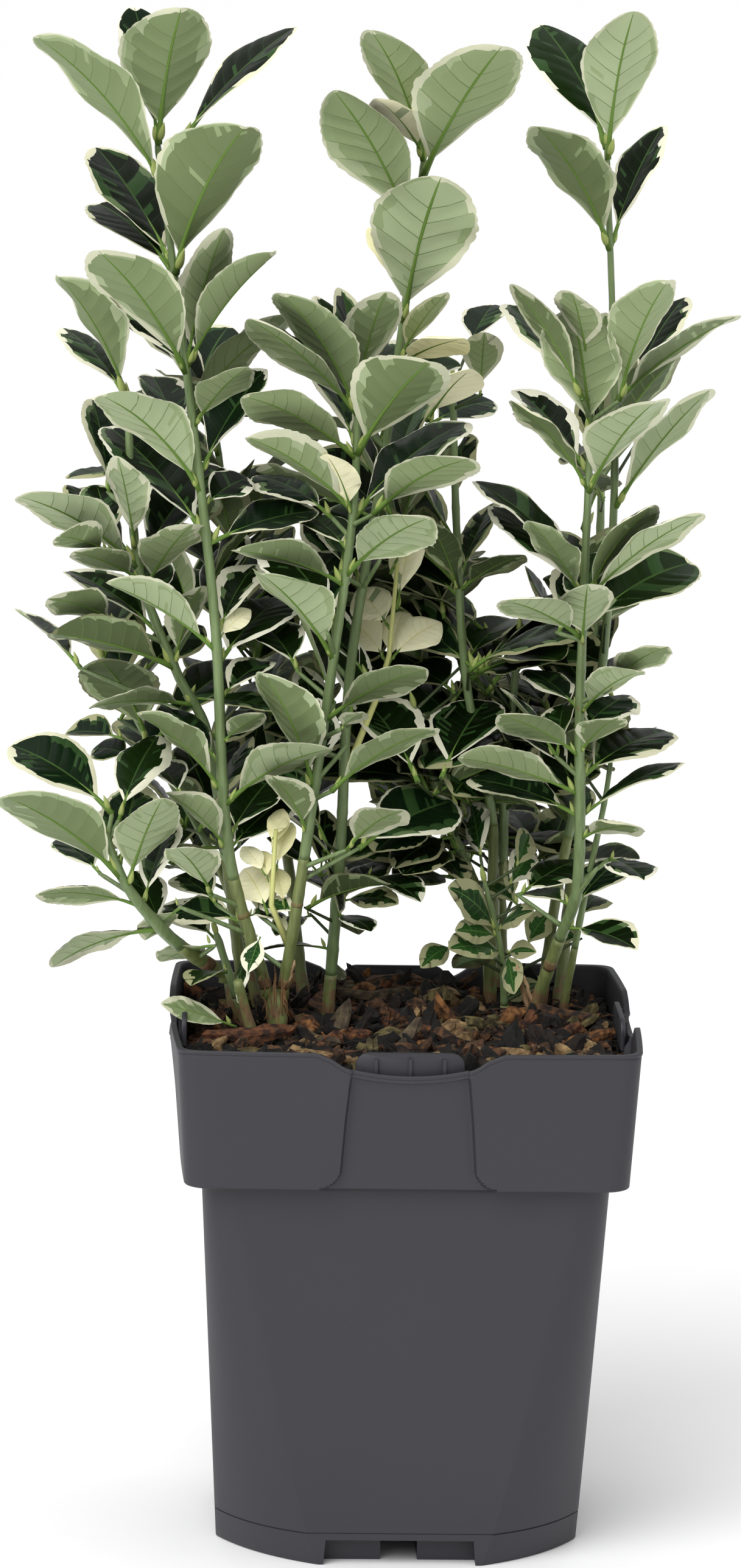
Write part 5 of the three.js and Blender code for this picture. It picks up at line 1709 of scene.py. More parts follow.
cane_piece = canes.make("canes", [cane_bark])
twig_piece = twigs.make("twigs", [twig_skin, shaded_skin])
bud_piece = buds.make("buds", [bud_skin])
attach(cane_piece, "root")
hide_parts(*[name for name, _, _ in limbs])
cream_skin = plain_material("cream_skin", colour(206, 208, 132), 0.45, bump=0.2, scale=700)
cream_twig_piece = cream_twigs.make("cream_twigs", [cream_skin])
for piece in (twig_piece, bud_piece, cream_twig_piece):
    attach(piece, "root")
for i, (leaf_builder, nodes) in enumerate(leaf_pieces):
    piece = leaf_builder.make("leaves_%d" % (i + 1), leaf_materials)
    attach(piece, "root")
    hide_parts(*nodes)

# Feet of the canes: brown scars, dry stubs and peeling bark
SCARS = {
    "right_front": [(168, 171)],
    "left_low": [(168, 170)],
    "left_tall": [(164, 167), (186, 187.5)],
    "middle_front": [(164, 167), (190, 191.5)],
    "right_tall": [(158, 160)],
}
# Dry stubs: the cane they stand on, height of their foot, way across and rise
DRY_STUBS = [
    ("right_front", 153, (-5.2, -2.2), 15),
    ("right_front", 156, (-4.0, -3.2), 9),
    ("right_front", 166, (2.6, -3.4), 12),
    ("left_tall", 164, (-2.6, -2.4), 8),
    ("middle_front", 165, (3, -2.4), 8),
]
STUB_RADIUS = 0.8
PEEL_COUNT = 18
PEEL_SEED = 52
PEEL_SHAPE = np.array([0.2, 0.8, 1, 1, 0.9, 0.7, 0.2])

random = np.random.RandomState(PEEL_SEED)
scar_bark = stem_material(
    "scar_bark", [(98, 86, 50), (132, 118, 76)], [(82, 58, 38), (122, 94, 64)], (146, 200), 0.75
)
peel_bark = plain_material("peel_bark", colour(132, 100, 66), 0.7, bump=0.6, scale=500)
scar_builder = Builder()
for cane in CANES:
    for low, high in SCARS.get(cane["name"], []):
        heights = np.linspace(low, high, max(4, int((high - low) / 0.8)))
        path = np.array([cane_at(cane["way"], z) for z in heights])
        girth = LOOK_GIRTHS.get(cane["name"], LOOK_GIRTH)
        radii = girth * np.array([cane_radius(cane, z) for z in heights])
        swell = 1.02 + 0.07 * np.sin(math.pi * np.linspace(0, 1, len(heights)))
        rough = random.uniform(-0.07, 0.07, (len(heights), STEM_SIDES))
        scar_builder.add(*tube(path, (radii * swell)[:, None] * (1 + rough), STEM_SIDES))
stub_builder = Builder()
cane_named = {cane["name"]: cane for cane in CANES}
for name, foot, across, rise in DRY_STUBS:
    start = cane_at(cane_named[name]["way"], foot)
    steps = np.linspace(0, 1, 9)[:, None]
    path = start + steps**0.6 * (*across, 0) + steps * (0, 0, rise)
    path = path + random.normal(0, 0.12, path.shape)
    rough = random.uniform(0.72, 1.2, (len(path), 7))
    radii = STUB_RADIUS * np.linspace(1.1, 0.75, len(path))[:, None] * rough
    radii[-1] *= 0.35
    stub_builder.add(*tube(path, radii, 7))
peel_builder = Builder()
trunk = TRUNKS[0]
for i in range(PEEL_COUNT):
    foot = random.uniform(147.5, 162)
    length = random.uniform(5, 15)
    around = random.uniform(-math.pi, 0.5)
    steps = np.linspace(0, 1, 7)
    path = []
    for step in steps:
        z = min(foot + step * length, 172)
        middle = cane_at(trunk["way"], min(z, 163))
        loose = 1.02 + 0.5 * (2 * step - 1) ** 4 * (i % 3 > 0)
        off = cane_radius(trunk, min(z, 163)) * LOOK_GIRTH * loose
        path.append(middle * (1, 1, 0) + (off * math.cos(around), off * math.sin(around), z))
        around += random.normal(0, 0.06)
    peel_builder.add(*tube(path, random.uniform(0.2, 0.45) * PEEL_SHAPE, 5))
foot_pieces = [
    scar_builder.make("stem_scars", [scar_bark]),
    stub_builder.make("dry_stubs", [dry_wood]),
    peel_builder.make("peeling_bark", [peel_bark]),
]
for piece in foot_pieces:
    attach(piece, "root")

# Pot: the sizes of the solid, with rounded edges, a moulded lip and finer corners
POT_HEIGHT = 158.6
RIM_HALF = 68
COLLAR_FOOT = 117.3
COLLAR_FOOT_HALF = 65.5
BODY_TOP = 115.7
BODY_TOP_HALF = 60.2
BASE_HALF = 54.25
RIM_CORNER = 7
BODY_TOP_CORNER = 9
BASE_CORNER = 30
BASE_CORNER_PULL = 0.34
TOP_CORNER_PULL = 0.08
RIM_BULGE = 2.1
COLLAR_FOOT_BULGE = 1.2
WALL = 1.6
FLOOR_TOP = 9.6
LABEL_TOP_HALF = 17
LABEL_FOOT_HALF = 20
LABEL_DEPTH = 2.1
PANEL_CORNER = 6
DIP_HALF = 27.5
DIP_EDGE = 16.5
DIP_SAG = 0.26
DIP_HEIGHT = 151.9
DIP_FROM = 138
NOTCH_FOOT_HALF = 22.8
NOTCH_HEIGHT = 7.75
NOTCH_DEPTH = 6.5
CHANNEL_HALF = 5.5
DRAIN_HOLE_RADIUS = 4
DRAIN_HOLE_AT = 30
CORNER_STEPS = 12
LIP_OUT = 0.25
LIP_BAND = 2.6
TAB_HALF = 16
TAB_TOP = 158.2
TAB_FOOT = 149
TAB_THICKNESS = 1.5
TAB_CORNER = 4
TAB_RIBS = (-10, 0, 10)
PLASTIC_GRAIN = 0.0002


def rim_height(x):
    """Height of the rim along a side: level, with a dip in the middle that sags a little."""
    drop = ease((DIP_HALF - np.abs(x)) / (DIP_HALF - DIP_EDGE)) * (1 - DIP_SAG)
    sag = DIP_SAG * np.maximum(1 - (x / DIP_EDGE) ** 2, 0)
    return POT_HEIGHT - (POT_HEIGHT - DIP_HEIGHT) * (drop + sag)


def label_half(z):
    share = (z - COLLAR_FOOT) / (POT_HEIGHT - COLLAR_FOOT)
    low = mix(NOTCH_FOOT_HALF, LABEL_FOOT_HALF, np.clip(z / COLLAR_FOOT, 0, 1))
    return np.where(z > COLLAR_FOOT, mix(LABEL_FOOT_HALF, LABEL_TOP_HALF, share), low)


def panel_share(x, z):
    """1 on the raised side panels of the collar, 0 on the label panel between them."""
    from_edge = np.abs(x) - label_half(z)
    up = z - COLLAR_FOOT
    corner = PANEL_CORNER - np.hypot(from_edge - PANEL_CORNER, up - PANEL_CORNER)
    inside = np.where((from_edge < PANEL_CORNER) & (up < PANEL_CORNER), corner, from_edge)
    return ease((inside + 0.35) / 0.7)


def side_columns():
    """Places across one side, closer together at the label panel's edge."""
    near = [-1.2, -0.6, -0.25, 0.1, 0.45, 0.9, 1.5, 2.2, 3.0, 3.9, 4.9, 6.0]
    inner = np.linspace(0, 0.94, 9)
    outer = np.linspace(0.12, 1, 9)
    return inner, near, outer


def row_columns(z, straight):
    """x of every column of a side at one height, from the middle outwards."""
    inner, near, outer = side_columns()
    edge = label_half(z)
    room = min(1, 0.7 * (straight - edge) / near[-1])
    inside = inner * (edge + near[0] * room)
    close = edge + np.array(near) * room
    start = close[-1]
    beyond = start + (straight - start) * outer
    half = np.concatenate([inside, close, beyond])
    return np.concatenate([-half[:0:-1], half])


def pot_row(level, out=0.0, lip=0.0, rim=None, inset=0.0, panel=True):
    """One ring of the pot. rim is a depth under the rim, for rows that follow its dip."""
    z = level
    if z <= BODY_TOP:
        share = z / BODY_TOP
        half = mix(BASE_HALF, BODY_TOP_HALF, share)
        corner = mix(BASE_CORNER, BODY_TOP_CORNER, share**0.8)
        pull = mix(BASE_CORNER_PULL, TOP_CORNER_PULL, share)
        bulge = 0.0
    else:
        share = (z - COLLAR_FOOT) / (POT_HEIGHT - COLLAR_FOOT)
        half = mix(COLLAR_FOOT_HALF, RIM_HALF, share)
        corner = mix(RIM_CORNER, RIM_CORNER - 1, share)
        pull = TOP_CORNER_PULL
        bulge = mix(COLLAR_FOOT_BULGE, RIM_BULGE, share)
    half = half + out - inset
    straight = half - corner
    x = row_columns(np.float64(z), straight)
    d = half + bulge * (1 - (x / straight) ** 2)
    height = np.full(len(x), float(z))
    if z > BODY_TOP and panel:
        recess = 1 - panel_share(x, height)
        dip = np.clip((DIP_HALF - np.abs(x)) / 9, 0, 1)
        d = d - LABEL_DEPTH * recess * (1 - 0.6 * lip) + 0.1 * lip * dip
    if rim is not None:
        height = rim_height(x) - rim
    elif z > DIP_FROM:
        share = (z - DIP_FROM) / (POT_HEIGHT - LIP_BAND - DIP_FROM)
        height = DIP_FROM + (rim_height(x) - LIP_BAND - DIP_FROM) * share
    t = np.arange(1, CORNER_STEPS) / CORNER_STEPS
    control = half - pull * corner
    a, b, c = (1 - t) ** 2, 2 * t * (1 - t), t**2
    corner_along = a * straight + b * control + c * half
    corner_out = a * half + b * control + c * straight
    along = np.concatenate([x, corner_along])
    away = np.concatenate([d, corner_out])
    corner_height = (POT_HEIGHT - rim) if rim is not None else z
    up = np.concatenate([height, np.full(len(t), float(corner_height))])
    sides = []
    for turn in range(4):
        angle = turn * math.pi / 2
        # The first side faces the viewer: along runs to the right and away points to -y
        ax, ay = math.cos(angle), math.sin(angle)
        px = along * ax + away * ay
        py = along * ay - away * ax
        sides.append(np.stack([px, py, up], -1))
    return np.concatenate(sides)


def pot_rings():
    rings = []
    for z in (0, 0.6, 2.5, 5, 7.75, 9.2, 9.55):
        rings.append(pot_row(z, out=-0.35 if z == 0 else 0))
    rings.append(pot_row(9.8, out=-0.28))
    for z in [10.05, 10.5, *np.linspace(14, 111, 22), 113.5, 115.0, BODY_TOP]:
        rings.append(pot_row(z))
    for z, out in ((116.4, -4.4), (116.55, -1.6), (116.75, -0.7), (117.0, -0.22)):
        rings.append(pot_row(z, out=out))
    for up in (0.0, 0.5, 1.1, 1.8, 2.6, 3.4, 4.3, 5.3, 6.4, 8, 10, 13, 17):
        rings.append(pot_row(COLLAR_FOOT + up))
    for z in (137, 140, 143, 146, 149, 152, 154.5):
        rings.append(pot_row(z))
    # Depth under the rim, way outwards and share of the lip
    lip_rows = [
        (LIP_BAND, 0, 0.3), (2.25, 0, 0.9), (1.6, 0, 1), (1.3, -0.12, 1), (1.1, 0.1, 1),
        (0.85, LIP_OUT * 0.7, 1), (0.45, LIP_OUT, 1), (0.12, LIP_OUT * 0.75, 1), (0, 0.1, 1), (0, -0.9, 1),
        (0.15, -1.45, 1), (0.6, -WALL, 1), (1.4, -WALL, 1), (3.2, -WALL, 0.2), (5, -WALL, 0),
    ]
    for depth, out, lip in lip_rows:
        rings.append(pot_row(POT_HEIGHT - depth, out=out, rim=depth, lip=lip))
    for z in (149, 145, 141, 134, 126, 120.5, 119):
        rings.append(pot_row(z, inset=WALL))
    ledge = COLLAR_FOOT_HALF - BODY_TOP_HALF + WALL
    rings.append(pot_row(118.2, inset=ledge - 0.6, panel=False))
    for z in (BODY_TOP, 112, 90, 60, 30, FLOOR_TOP):
        rings.append(pot_row(z, inset=WALL))
    return rings


def closed_rings(rings):
    """Closed mesh through rings of equal length, with a fan over its first and last ring."""
    return ring_mesh(np.array(rings), [rings[0].mean(0), rings[-1].mean(0)])


def box_mesh(low, high, taper=0.0):
    """Block between two corners; taper narrows its top in x."""
    (x0, y0, z0), (x1, y1, z1) = low, high
    t = taper
    points = [
        (x0, y0, z0), (x1, y0, z0), (x1, y1, z0), (x0, y1, z0),
        (x0 + t, y0, z1), (x1 - t, y0, z1), (x1 - t, y1, z1), (x0 + t, y1, z1),
    ]
    faces = [(0, 3, 2, 1), (4, 5, 6, 7), (0, 1, 5, 4), (1, 2, 6, 5), (2, 3, 7, 6), (3, 0, 4, 7)]
    return np.array(points, float), np.array(faces)


def turned(points, quarter):
    angle = quarter * math.pi / 2
    c, s = math.cos(angle), math.sin(angle)
    return np.asarray(points) @ np.array([[c, s, 0], [-s, c, 0], [0, 0, 1]])


def on_quarters(parts, quarters):
    """Meshes repeated on sides of the pot."""
    return [(turned(points, quarter), faces) for quarter in quarters for points, faces in parts]


def cut_with(target, name, parts):
    """Cuts closed parts out of an object; the cutter is removed again."""
    cutter = Builder()
    for part in parts:
        cutter.add(*part)
    tool = cutter.make(name, [], flat=True)
    cut = target.modifiers.new(name, "BOOLEAN")
    cut.operation = "DIFFERENCE"
    cut.solver = "EXACT"
    cut.object = tool
    graph = bpy.context.evaluated_depsgraph_get()
    mesh = bpy.data.meshes.new_from_object(target.evaluated_get(graph))
    target.modifiers.clear()
    target.data = mesh
    bpy.data.objects.remove(tool)


def prism(outline, low, high):
    """Closed prism of an outline in x and y between two heights."""
    ring = np.array(outline, float)
    rings = [np.column_stack([ring, np.full(len(ring), z)]) for z in (low, high)]
    return closed_rings(rings)


def tab_mesh():
    """Rounded upright tab behind the dip, with three small ribs on its face."""
    outline = [(-TAB_HALF, TAB_FOOT), (TAB_HALF, TAB_FOOT)]
    for side, first in ((1, 0), (-1, 90)):
        for i in range(7):
            angle = math.radians(first + 15 * i)
            x = side * (TAB_HALF - TAB_CORNER) + TAB_CORNER * math.cos(angle)
            outline.append((x, TAB_TOP - TAB_CORNER + TAB_CORNER * math.sin(angle)))
    outline = np.array(outline)
    middle = outline.mean(0)
    front = RIM_HALF + RIM_BULGE - LABEL_DEPTH - WALL
    rings = []
    for shrink, depth in ((0.6, 0.0), (0.15, 0.2), (0.0, 0.5), (0.0, 1.1), (0.15, 1.35), (0.6, 1.5)):
        inward = outline - middle
        inward = outline - inward / np.linalg.norm(inward, axis=1)[:, None] * shrink
        y = np.full(len(inward), -front + depth * TAB_THICKNESS / 1.5)
        rings.append(np.column_stack([inward[:, 0], y, inward[:, 1]]))
    parts = [closed_rings(rings)]
    for x in TAB_RIBS:
        low = (x - 0.5, -front - 0.9, DIP_HEIGHT - 2)
        parts.append(box_mesh(low, (x + 0.5, -front + 0.4, TAB_TOP - 1.6)))
    return parts


def plastic(name, light, dark):
    """Moulded plastic: a little uneven in tone, with a very fine grain."""
    material, tree, place = start_material(name)
    cloud = noise(tree, place, 22, 6)
    rough = node(tree, "MapRange", "Result", Value=cloud, To_Min=0.5, To_Max=0.64)
    inputs = {"Base Color": tones(tree, cloud, dark, light), "Roughness": rough}
    return finish_material(material, noise(tree, place, 1900, 2), 0.22, PLASTIC_GRAIN, inputs)


pot_plastic = plastic("pot_plastic", (46, 45, 52), (39, 39, 45))
shell = Builder()
shell.add(*closed_rings(pot_rings()))
pot_piece = shell.make("pot_shell", [pot_plastic])
notch_end = (NOTCH_FOOT_HALF, NOTCH_DEPTH - BASE_HALF, NOTCH_HEIGHT)
notch = box_mesh((-NOTCH_FOOT_HALF, -BASE_HALF - 3, -1), notch_end, 0.8)
cut_with(pot_piece, "notches", on_quarters([notch], range(4)))
channel_end = (CHANNEL_HALF, BASE_HALF + 1, NOTCH_HEIGHT - 0.05)
channel = box_mesh((-CHANNEL_HALF, -BASE_HALF - 1, -1.1), channel_end)
cut_with(pot_piece, "channel_one", [channel])
cut_with(pot_piece, "channel_two", on_quarters([channel], [1]))
angles = np.arange(24) * math.pi / 12
circle = DRAIN_HOLE_RADIUS * np.column_stack([np.cos(angles), np.sin(angles)]) - (0, DRAIN_HOLE_AT)
cut_with(pot_piece, "drain_holes", on_quarters([prism(circle, -2, FLOOR_TOP + 4)], range(4)))
tabs = Builder()
for part in on_quarters(tab_mesh(), range(4)):
    tabs.add(*part)
tab_piece = tabs.make("pot_tabs", [pot_plastic])
for piece in (pot_piece, tab_piece):
    piece.data.polygons.foreach_set("use_smooth", np.full(len(piece.data.polygons), True))
    piece.data.set_sharp_from_angle(angle=math.radians(38))
    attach(piece, "root")
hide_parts("pot")

# Bark mulch: an uneven bed under loose chips, lumps, crumbs and fibres
BED_LEVEL = 146.6
BED_FOOT = 132
BED_CELLS = 70
BED_HALF = 65.2
BED_CORNER = 7
WALL_ROOM = 0.4
STEM_ROOM = 2.6
ROUGH_RELIEF = 0.0012
CHIP_COUNT = 850
CRUMB_COUNT = 1500
LUMP_COUNT = 70
FIBRE_COUNT = 320
FIBRE_RADII = 0.42 * np.array([0.3, 0.8, 1, 1, 1, 0.9, 0.7, 0.2])
MULCH_SEED = 91
# Large pieces that the photo shows: place, length, width, thickness, yaw in degrees and kind
LARGE_CHIPS = [
    ((-46, -14), 27, 7, 3, 4, "chip_red"),
    ((-6, 38), 26, 4, 2.5, 24, "chip_grey"),
    ((-2, 57), 30, 6, 3, -12, "chip_brown"),
    ((57, -8), 19, 4, 2.5, 38, "chip_orange"),
    ((50, 14), 22, 5, 3, -20, "chip_brown"),
    ((24, 6), 20, 5, 3, 55, "chip_olive"),
    ((36, -34), 21, 6, 3, -32, "chip_tan"),
    ((-16, 56), 22, 9, 3, 10, "chip_grey"),
    ((2, -30), 24, 5, 3, 16, "chip_brown"),
    ((-24, -44), 22, 6, 3, -14, "chip_tan"),
]
LARGE_LUMPS = [
    ((14, 35), 12, "chip_tan"),
    ((15, -3), 12, "chip_tan"),
    ((-10, 46), 8, "chip_orange"),
    ((34, 15), 10, "chip_orange"),
    ((55, -22), 9, "chip_tan"),
    ((5, 21), 9, "chip_brown"),
]

BARK_COLOURS = {
    "chip_dark": ((7, 4, 2), (42, 26, 15), 0.27),
    # Near-black chips: dark bark, darkened further as painted shade between the chips
    "chip_darker": ((4, 2, 1), (17, 11, 6), 0.33),
    "chip_brown": ((26, 15, 8), (106, 72, 44), 0.2),
    "chip_red": ((40, 20, 10), (122, 76, 44), 0.09),
    "chip_tan": ((88, 66, 40), (160, 132, 92), 0.06),
    "chip_grey": ((52, 42, 31), (104, 90, 68), 0.04),
    "chip_orange": ((60, 34, 15), (150, 102, 56), 0.05),
    "chip_olive": ((58, 50, 26), (116, 104, 64), 0.03),
}


def bed_height(x, y):
    """Height of the bed: low at the front, a little higher at the back, uneven all over."""
    mound = 3.6 * ease((y + 30) / 80) * np.clip(1.2 - np.abs(x - 4) / 70, 0, 1)
    rough = 0.9 * np.sin(x / 5.1 + 1.3) * np.cos(y / 4.3) + 0.7 * np.sin(x / 2.3 + y / 3.1)
    return BED_LEVEL + mound + rough


def rounded_square(x, y, half):
    """Places moved inwards where they lie past a square's sides or its rounded corners."""
    inner = half - BED_CORNER
    over_x = np.maximum(np.abs(x) - inner, 0)
    over_y = np.maximum(np.abs(y) - inner, 0)
    shrink = np.minimum(1, BED_CORNER / np.maximum(np.hypot(over_x, over_y), 1e-9))
    x = np.sign(x) * (np.minimum(np.abs(x), inner) + over_x * shrink)
    return x, np.sign(y) * (np.minimum(np.abs(y), inner) + over_y * shrink)


def bed_place(u, v):
    """Place on the bed for u and v from -1 to 1, kept inside the pot's inner wall."""
    return rounded_square(u * BED_HALF, v * BED_HALF, BED_HALF)


def bed_mesh():
    """The bed's uneven top with a skirt and a floor below."""
    line = np.linspace(-1, 1, BED_CELLS + 1)
    u, v = np.meshgrid(line, line)
    x, y = bed_place(u, v)
    points = np.stack([x, y, bed_height(x, y)], -1)
    size = BED_CELLS + 1
    grid = np.arange(size * size).reshape(size, size)
    quads = np.stack([grid[:-1, :-1], grid[:-1, 1:], grid[1:, 1:], grid[1:, :-1]], -1).reshape(-1, 4)
    edge = np.concatenate([grid[0, :-1], grid[:-1, -1], grid[-1, :0:-1], grid[:0:-1, 0]])
    points = points.reshape(-1, 3)
    foot = points[edge] * (0.97, 0.97, 0) + (0, 0, BED_FOOT)
    low = len(points) + np.arange(len(edge))
    points = np.concatenate([points, foot, [[0, 0, BED_FOOT]]])
    skirt = np.stack([edge, low, np.roll(low, -1), np.roll(edge, -1)], -1)
    centre = np.full(len(edge), len(points) - 1)
    floor = np.stack([np.roll(low, -1), low, centre, centre], -1)
    return points, np.concatenate([quads, skirt, floor])


def turn_matrix(yaw, pitch, roll):
    """Turn about z, y and x, in radians."""
    cy, sy = math.cos(yaw), math.sin(yaw)
    cp, sp = math.cos(pitch), math.sin(pitch)
    cr, sr = math.cos(roll), math.sin(roll)
    about_z = np.array([[cy, -sy, 0], [sy, cy, 0], [0, 0, 1]])
    about_y = np.array([[cp, 0, sp], [0, 1, 0], [-sp, 0, cp]])
    about_x = np.array([[1, 0, 0], [0, cr, -sr], [0, sr, cr]])
    return about_z @ about_y @ about_x


def chip_mesh(length, width, thickness, random):
    """Split flake of bark: an uneven outline with a rough top, long along its grain."""
    sides = 10
    angles = 2 * math.pi * (np.arange(sides) + random.uniform(-0.25, 0.25, sides)) / sides
    reach = random.uniform(0.72, 1.12, sides)
    squared = (np.abs(np.cos(angles)) ** 3 + np.abs(np.sin(angles)) ** 3) ** (-1 / 3)
    outline = np.column_stack([np.cos(angles) * length / 2, np.sin(angles) * width / 2])
    outline = outline * (reach * squared)[:, None]
    rings = []
    for up, size in ((-0.5, 0.86), (0.1, 1.0), (0.5, 0.88)):
        z = up * thickness + random.normal(0, 0.13, sides) * thickness
        rings.append(np.column_stack([outline * size, z]))
    rings.append(np.column_stack([outline * 0.45, (0.5 + random.normal(0, 0.2, sides)) * thickness]))
    points, faces = closed_rings(rings)
    curve = random.uniform(-0.012, 0.02)
    points[:, 2] += curve * points[:, 0] ** 2
    return points, faces


def lump_mesh(size, random):
    """Corky lump: a rough ball with deep dents."""
    rings = []
    sides = 11
    angles = 2 * math.pi * np.arange(sides) / sides
    for level in np.linspace(-0.92, 0.92, 8):
        reach = math.sqrt(1 - level * level) * random.uniform(0.72, 1.15, sides)
        z = level + random.normal(0, 0.07, sides)
        rings.append(np.column_stack([np.cos(angles) * reach, np.sin(angles) * reach, z]))
    points, faces = closed_rings(rings)
    return points * np.array(size) / 2, faces


def clear_of_stems(x, y, reach):
    """True where no stem stands within a reach of a place."""
    return all(math.hypot(x - fx, y - fy) > reach + STEM_ROOM for fx, fy in stem_feet)


def inside_pot(points):
    """Pushes points that would pass through the pot's wall back inside it."""
    x, y = rounded_square(points[:, 0], points[:, 1], BED_HALF + WALL_ROOM)
    return np.column_stack([x, y, points[:, 2]])


def soil_material(name, dark, light, scale):
    """Dark rough matter with lighter clods."""
    material, tree, place = start_material(name)
    clods = noise(tree, place, scale, 7)
    contrast = node(tree, "MapRange", "Result", Value=clods, From_Min=0.41, From_Max=0.72)
    inputs = {"Base Color": tones(tree, contrast, dark, light), "Roughness": 0.9}
    return finish_material(material, clods, 0.9, ROUGH_RELIEF, inputs)


stem_feet = [cane["way"][0][:2] for _, cane, _ in limbs if cane["way"][0][2] == GROUND]
random = np.random.RandomState(MULCH_SEED)
bark_names = list(BARK_COLOURS)
bark_shares = np.array([share for _, _, share in BARK_COLOURS.values()])
bark_materials = [soil_material(name, dark, light, 360) for name, (dark, light, _) in BARK_COLOURS.items()]
bed = Builder()
bed.add(*bed_mesh())
# The bed's near-black colour is painted shade for the gaps between the chips
bed_piece = bed.make("mulch_bed", [soil_material("wet_bark", (4, 2, 1), (20, 13, 8), 330)])

chips = Builder()
for place, length, width, thickness, yaw, kind in LARGE_CHIPS:
    points, faces = chip_mesh(length, width, thickness, random)
    points = points @ turn_matrix(math.radians(yaw), random.normal(0, 0.06), random.normal(0, 0.2)).T
    points = points + (*place, bed_height(*place) + 4.2)
    chips.add(inside_pot(points), faces, bark_names.index(kind))
for place, size, kind in LARGE_LUMPS:
    points, faces = lump_mesh(size * np.array([1, 0.8, 0.75]), random)
    points = points @ turn_matrix(*random.uniform(-0.5, 0.5, 3)).T + (*place, bed_height(*place) + 4)
    chips.add(inside_pot(points), faces, bark_names.index(kind))
for i in range(CHIP_COUNT):
    length = 8 + 18 * random.random() ** 1.6
    width = length * random.uniform(0.12, 0.36)
    thickness = random.uniform(1.4, 4.4) * min(1, length / 11)
    u, v = random.uniform(-0.97, 0.97, 2)
    x, y = bed_place(u, v)
    tilt, roll = random.normal(0, 0.38, 2)
    yaw = random.uniform(0, 2 * math.pi)
    lift = random.uniform(0, 3.0)
    kind = random.choice(len(bark_names), p=bark_shares / bark_shares.sum())
    points, faces = chip_mesh(length, width, thickness, random)
    if not clear_of_stems(x, y, 0.3 * length):
        continue
    points = points @ turn_matrix(yaw, tilt, roll).T + (x, y, bed_height(x, y) + lift)
    chips.add(inside_pot(points), faces, kind)
for i in range(LUMP_COUNT):
    size = random.uniform(5, 11) * np.array([1, random.uniform(0.6, 0.9), random.uniform(0.5, 0.8)])
    u, v = random.uniform(-0.9, 0.9, 2)
    x, y = bed_place(u, v)
    kind = bark_names.index(("chip_tan", "chip_orange", "chip_brown", "chip_olive")[random.randint(4)])
    points, faces = lump_mesh(size, random)
    if not clear_of_stems(x, y, 0.5 * size[0]):
        continue
    spin = turn_matrix(random.uniform(0, 6.3), random.normal(0, 0.4), random.normal(0, 0.4))
    points = points @ spin.T + (x, y, bed_height(x, y) + 1.8)
    chips.add(inside_pot(points), faces, kind)
chip_piece = chips.make("bark_chips", bark_materials, flat=True)

crumbs = Builder()
ball = np.array([(1, 0, 0), (0, 1, 0), (-1, 0, 0), (0, -1, 0), (0, 0, 1), (0, 0, -1)], float)
ball_faces = np.array([(0, 1, 4, 4), (1, 2, 4, 4), (2, 3, 4, 4), (3, 0, 4, 4)])
ball_faces = np.concatenate([ball_faces, [(1, 0, 5, 5), (2, 1, 5, 5), (3, 2, 5, 5), (0, 3, 5, 5)]])
for i in range(CRUMB_COUNT):
    size = random.uniform(0.6, 2.0) * random.uniform(0.4, 1.4, 3)
    u, v = random.uniform(-0.99, 0.99, 2)
    x, y = bed_place(u, v)
    spin = turn_matrix(*random.uniform(0, 6.3, 3))
    kind = random.randint(3)
    lift = random.uniform(0.2, 2.6)
    points = (ball * random.uniform(0.7, 1.3, (6, 1)) * size) @ spin.T + (x, y, bed_height(x, y) + lift)
    crumbs.add(inside_pot(points), ball_faces, kind)
crumb_piece = crumbs.make("bark_crumbs", bark_materials, flat=True)

fibres = Builder()
for i in range(FIBRE_COUNT):
    length = random.uniform(6, 22)
    u, v = random.uniform(-0.93, 0.93, 2)
    x, y = bed_place(u, v)
    yaw = random.uniform(0, 2 * math.pi)
    bend = random.uniform(-0.8, 0.8)
    steps = np.linspace(-0.5, 0.5, 8)
    bearing = yaw + bend * steps
    run = steps * length
    path = inside_pot(np.column_stack([x + np.cos(bearing) * run, y + np.sin(bearing) * run, 0 * steps]))
    path[:, 2] = bed_height(path[:, 0], path[:, 1]) + 2.2 + 1.2 * np.sin(steps * 5 + i)
    kind = random.choice(len(bark_names), p=bark_shares / bark_shares.sum())
    fibres.add(*tube(path, FIBRE_RADII, 4), kind)
fibre_piece = fibres.make("bark_fibres", bark_materials)
for piece in (bed_piece, chip_piece, crumb_piece, fibre_piece):
    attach(piece, "root")
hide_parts("bark_mulch")


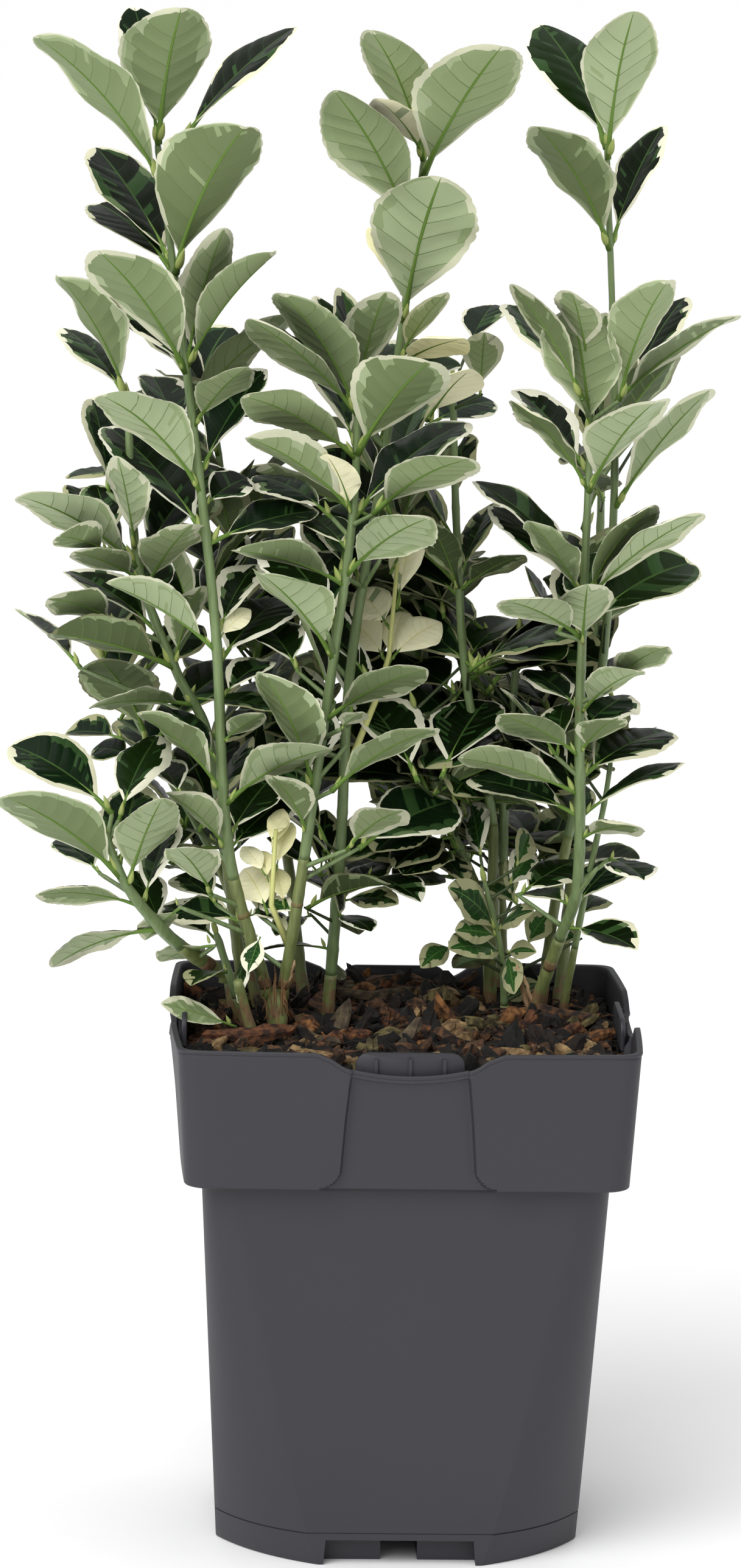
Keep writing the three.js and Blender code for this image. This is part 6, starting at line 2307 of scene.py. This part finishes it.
# Floor, lights and camera
def add_light(name, kind, power, way, place=(0, 0, 0)):
    """A light that shines one way."""
    data = bpy.data.lights.new(name, kind)
    data.energy = power
    made = bpy.data.objects.new(name, data)
    made.location = place
    made.rotation_euler = Vector(way).to_track_quat("-Z", "Y").to_euler()
    bpy.context.scene.collection.objects.link(made)
    return data


def area_light(name, place, aim, size, power):
    data = add_light(name, "AREA", power, Vector(aim) - Vector(place), place)
    data.shape = "RECTANGLE"
    data.size = data.size_y = size


floor_mesh = bpy.data.meshes.new("floor")
corners = [(x * FLOOR_HALF, y * FLOOR_HALF, 0) for x, y in ((-1, -1), (1, -1), (1, 1), (-1, 1))]
floor_mesh.from_pydata(corners, [], [(0, 1, 2, 3)])
floor = bpy.data.objects.new("floor", floor_mesh)
bpy.context.scene.collection.objects.link(floor)
floor_paint = plain_material("floor_paint", colour(252, 252, 252), 0.6, bump=0.02, scale=60)
floor_mesh.materials.append(floor_paint)

world = bpy.data.worlds.new("studio")
bpy.context.scene.world = world
world.use_nodes = True
sky = world.node_tree.nodes["Background"]
sky.inputs["Color"].default_value = (1.0, 1.0, 1.0, 1)
sky.inputs["Strength"].default_value = 0.66

add_light("key_sun", "SUN", 1.9, (0.55, 0.9, -1.0)).angle = SUN_SPREAD
area_light("key_light", (-0.9, -1.3, 1.7), (0, 0, 0.25), 0.9, 6)
area_light("top_light", (0.1, 0.2, 1.9), (0, 0, 0.2), 1.2, 5)

camera_data = bpy.data.cameras.new("camera")
camera_data.lens = CAMERA_LENS
camera_data.sensor_width = SENSOR
camera_data.sensor_fit = "AUTO"
camera_data.clip_end = 100
camera = bpy.data.objects.new("camera", camera_data)
aim = Vector(CAMERA_LOOK).to_track_quat("-Z", "Y")
turn = Matrix.Rotation(math.radians(CAMERA_ROLL), 4, "Z")
camera.matrix_world = Matrix.Translation(Vector(to_metres(CAMERA_AT))) @ aim.to_matrix().to_4x4() @ turn
bpy.context.scene.collection.objects.link(camera)
bpy.context.scene.camera = camera
bpy.context.scene.view_settings.view_transform = "Standard"
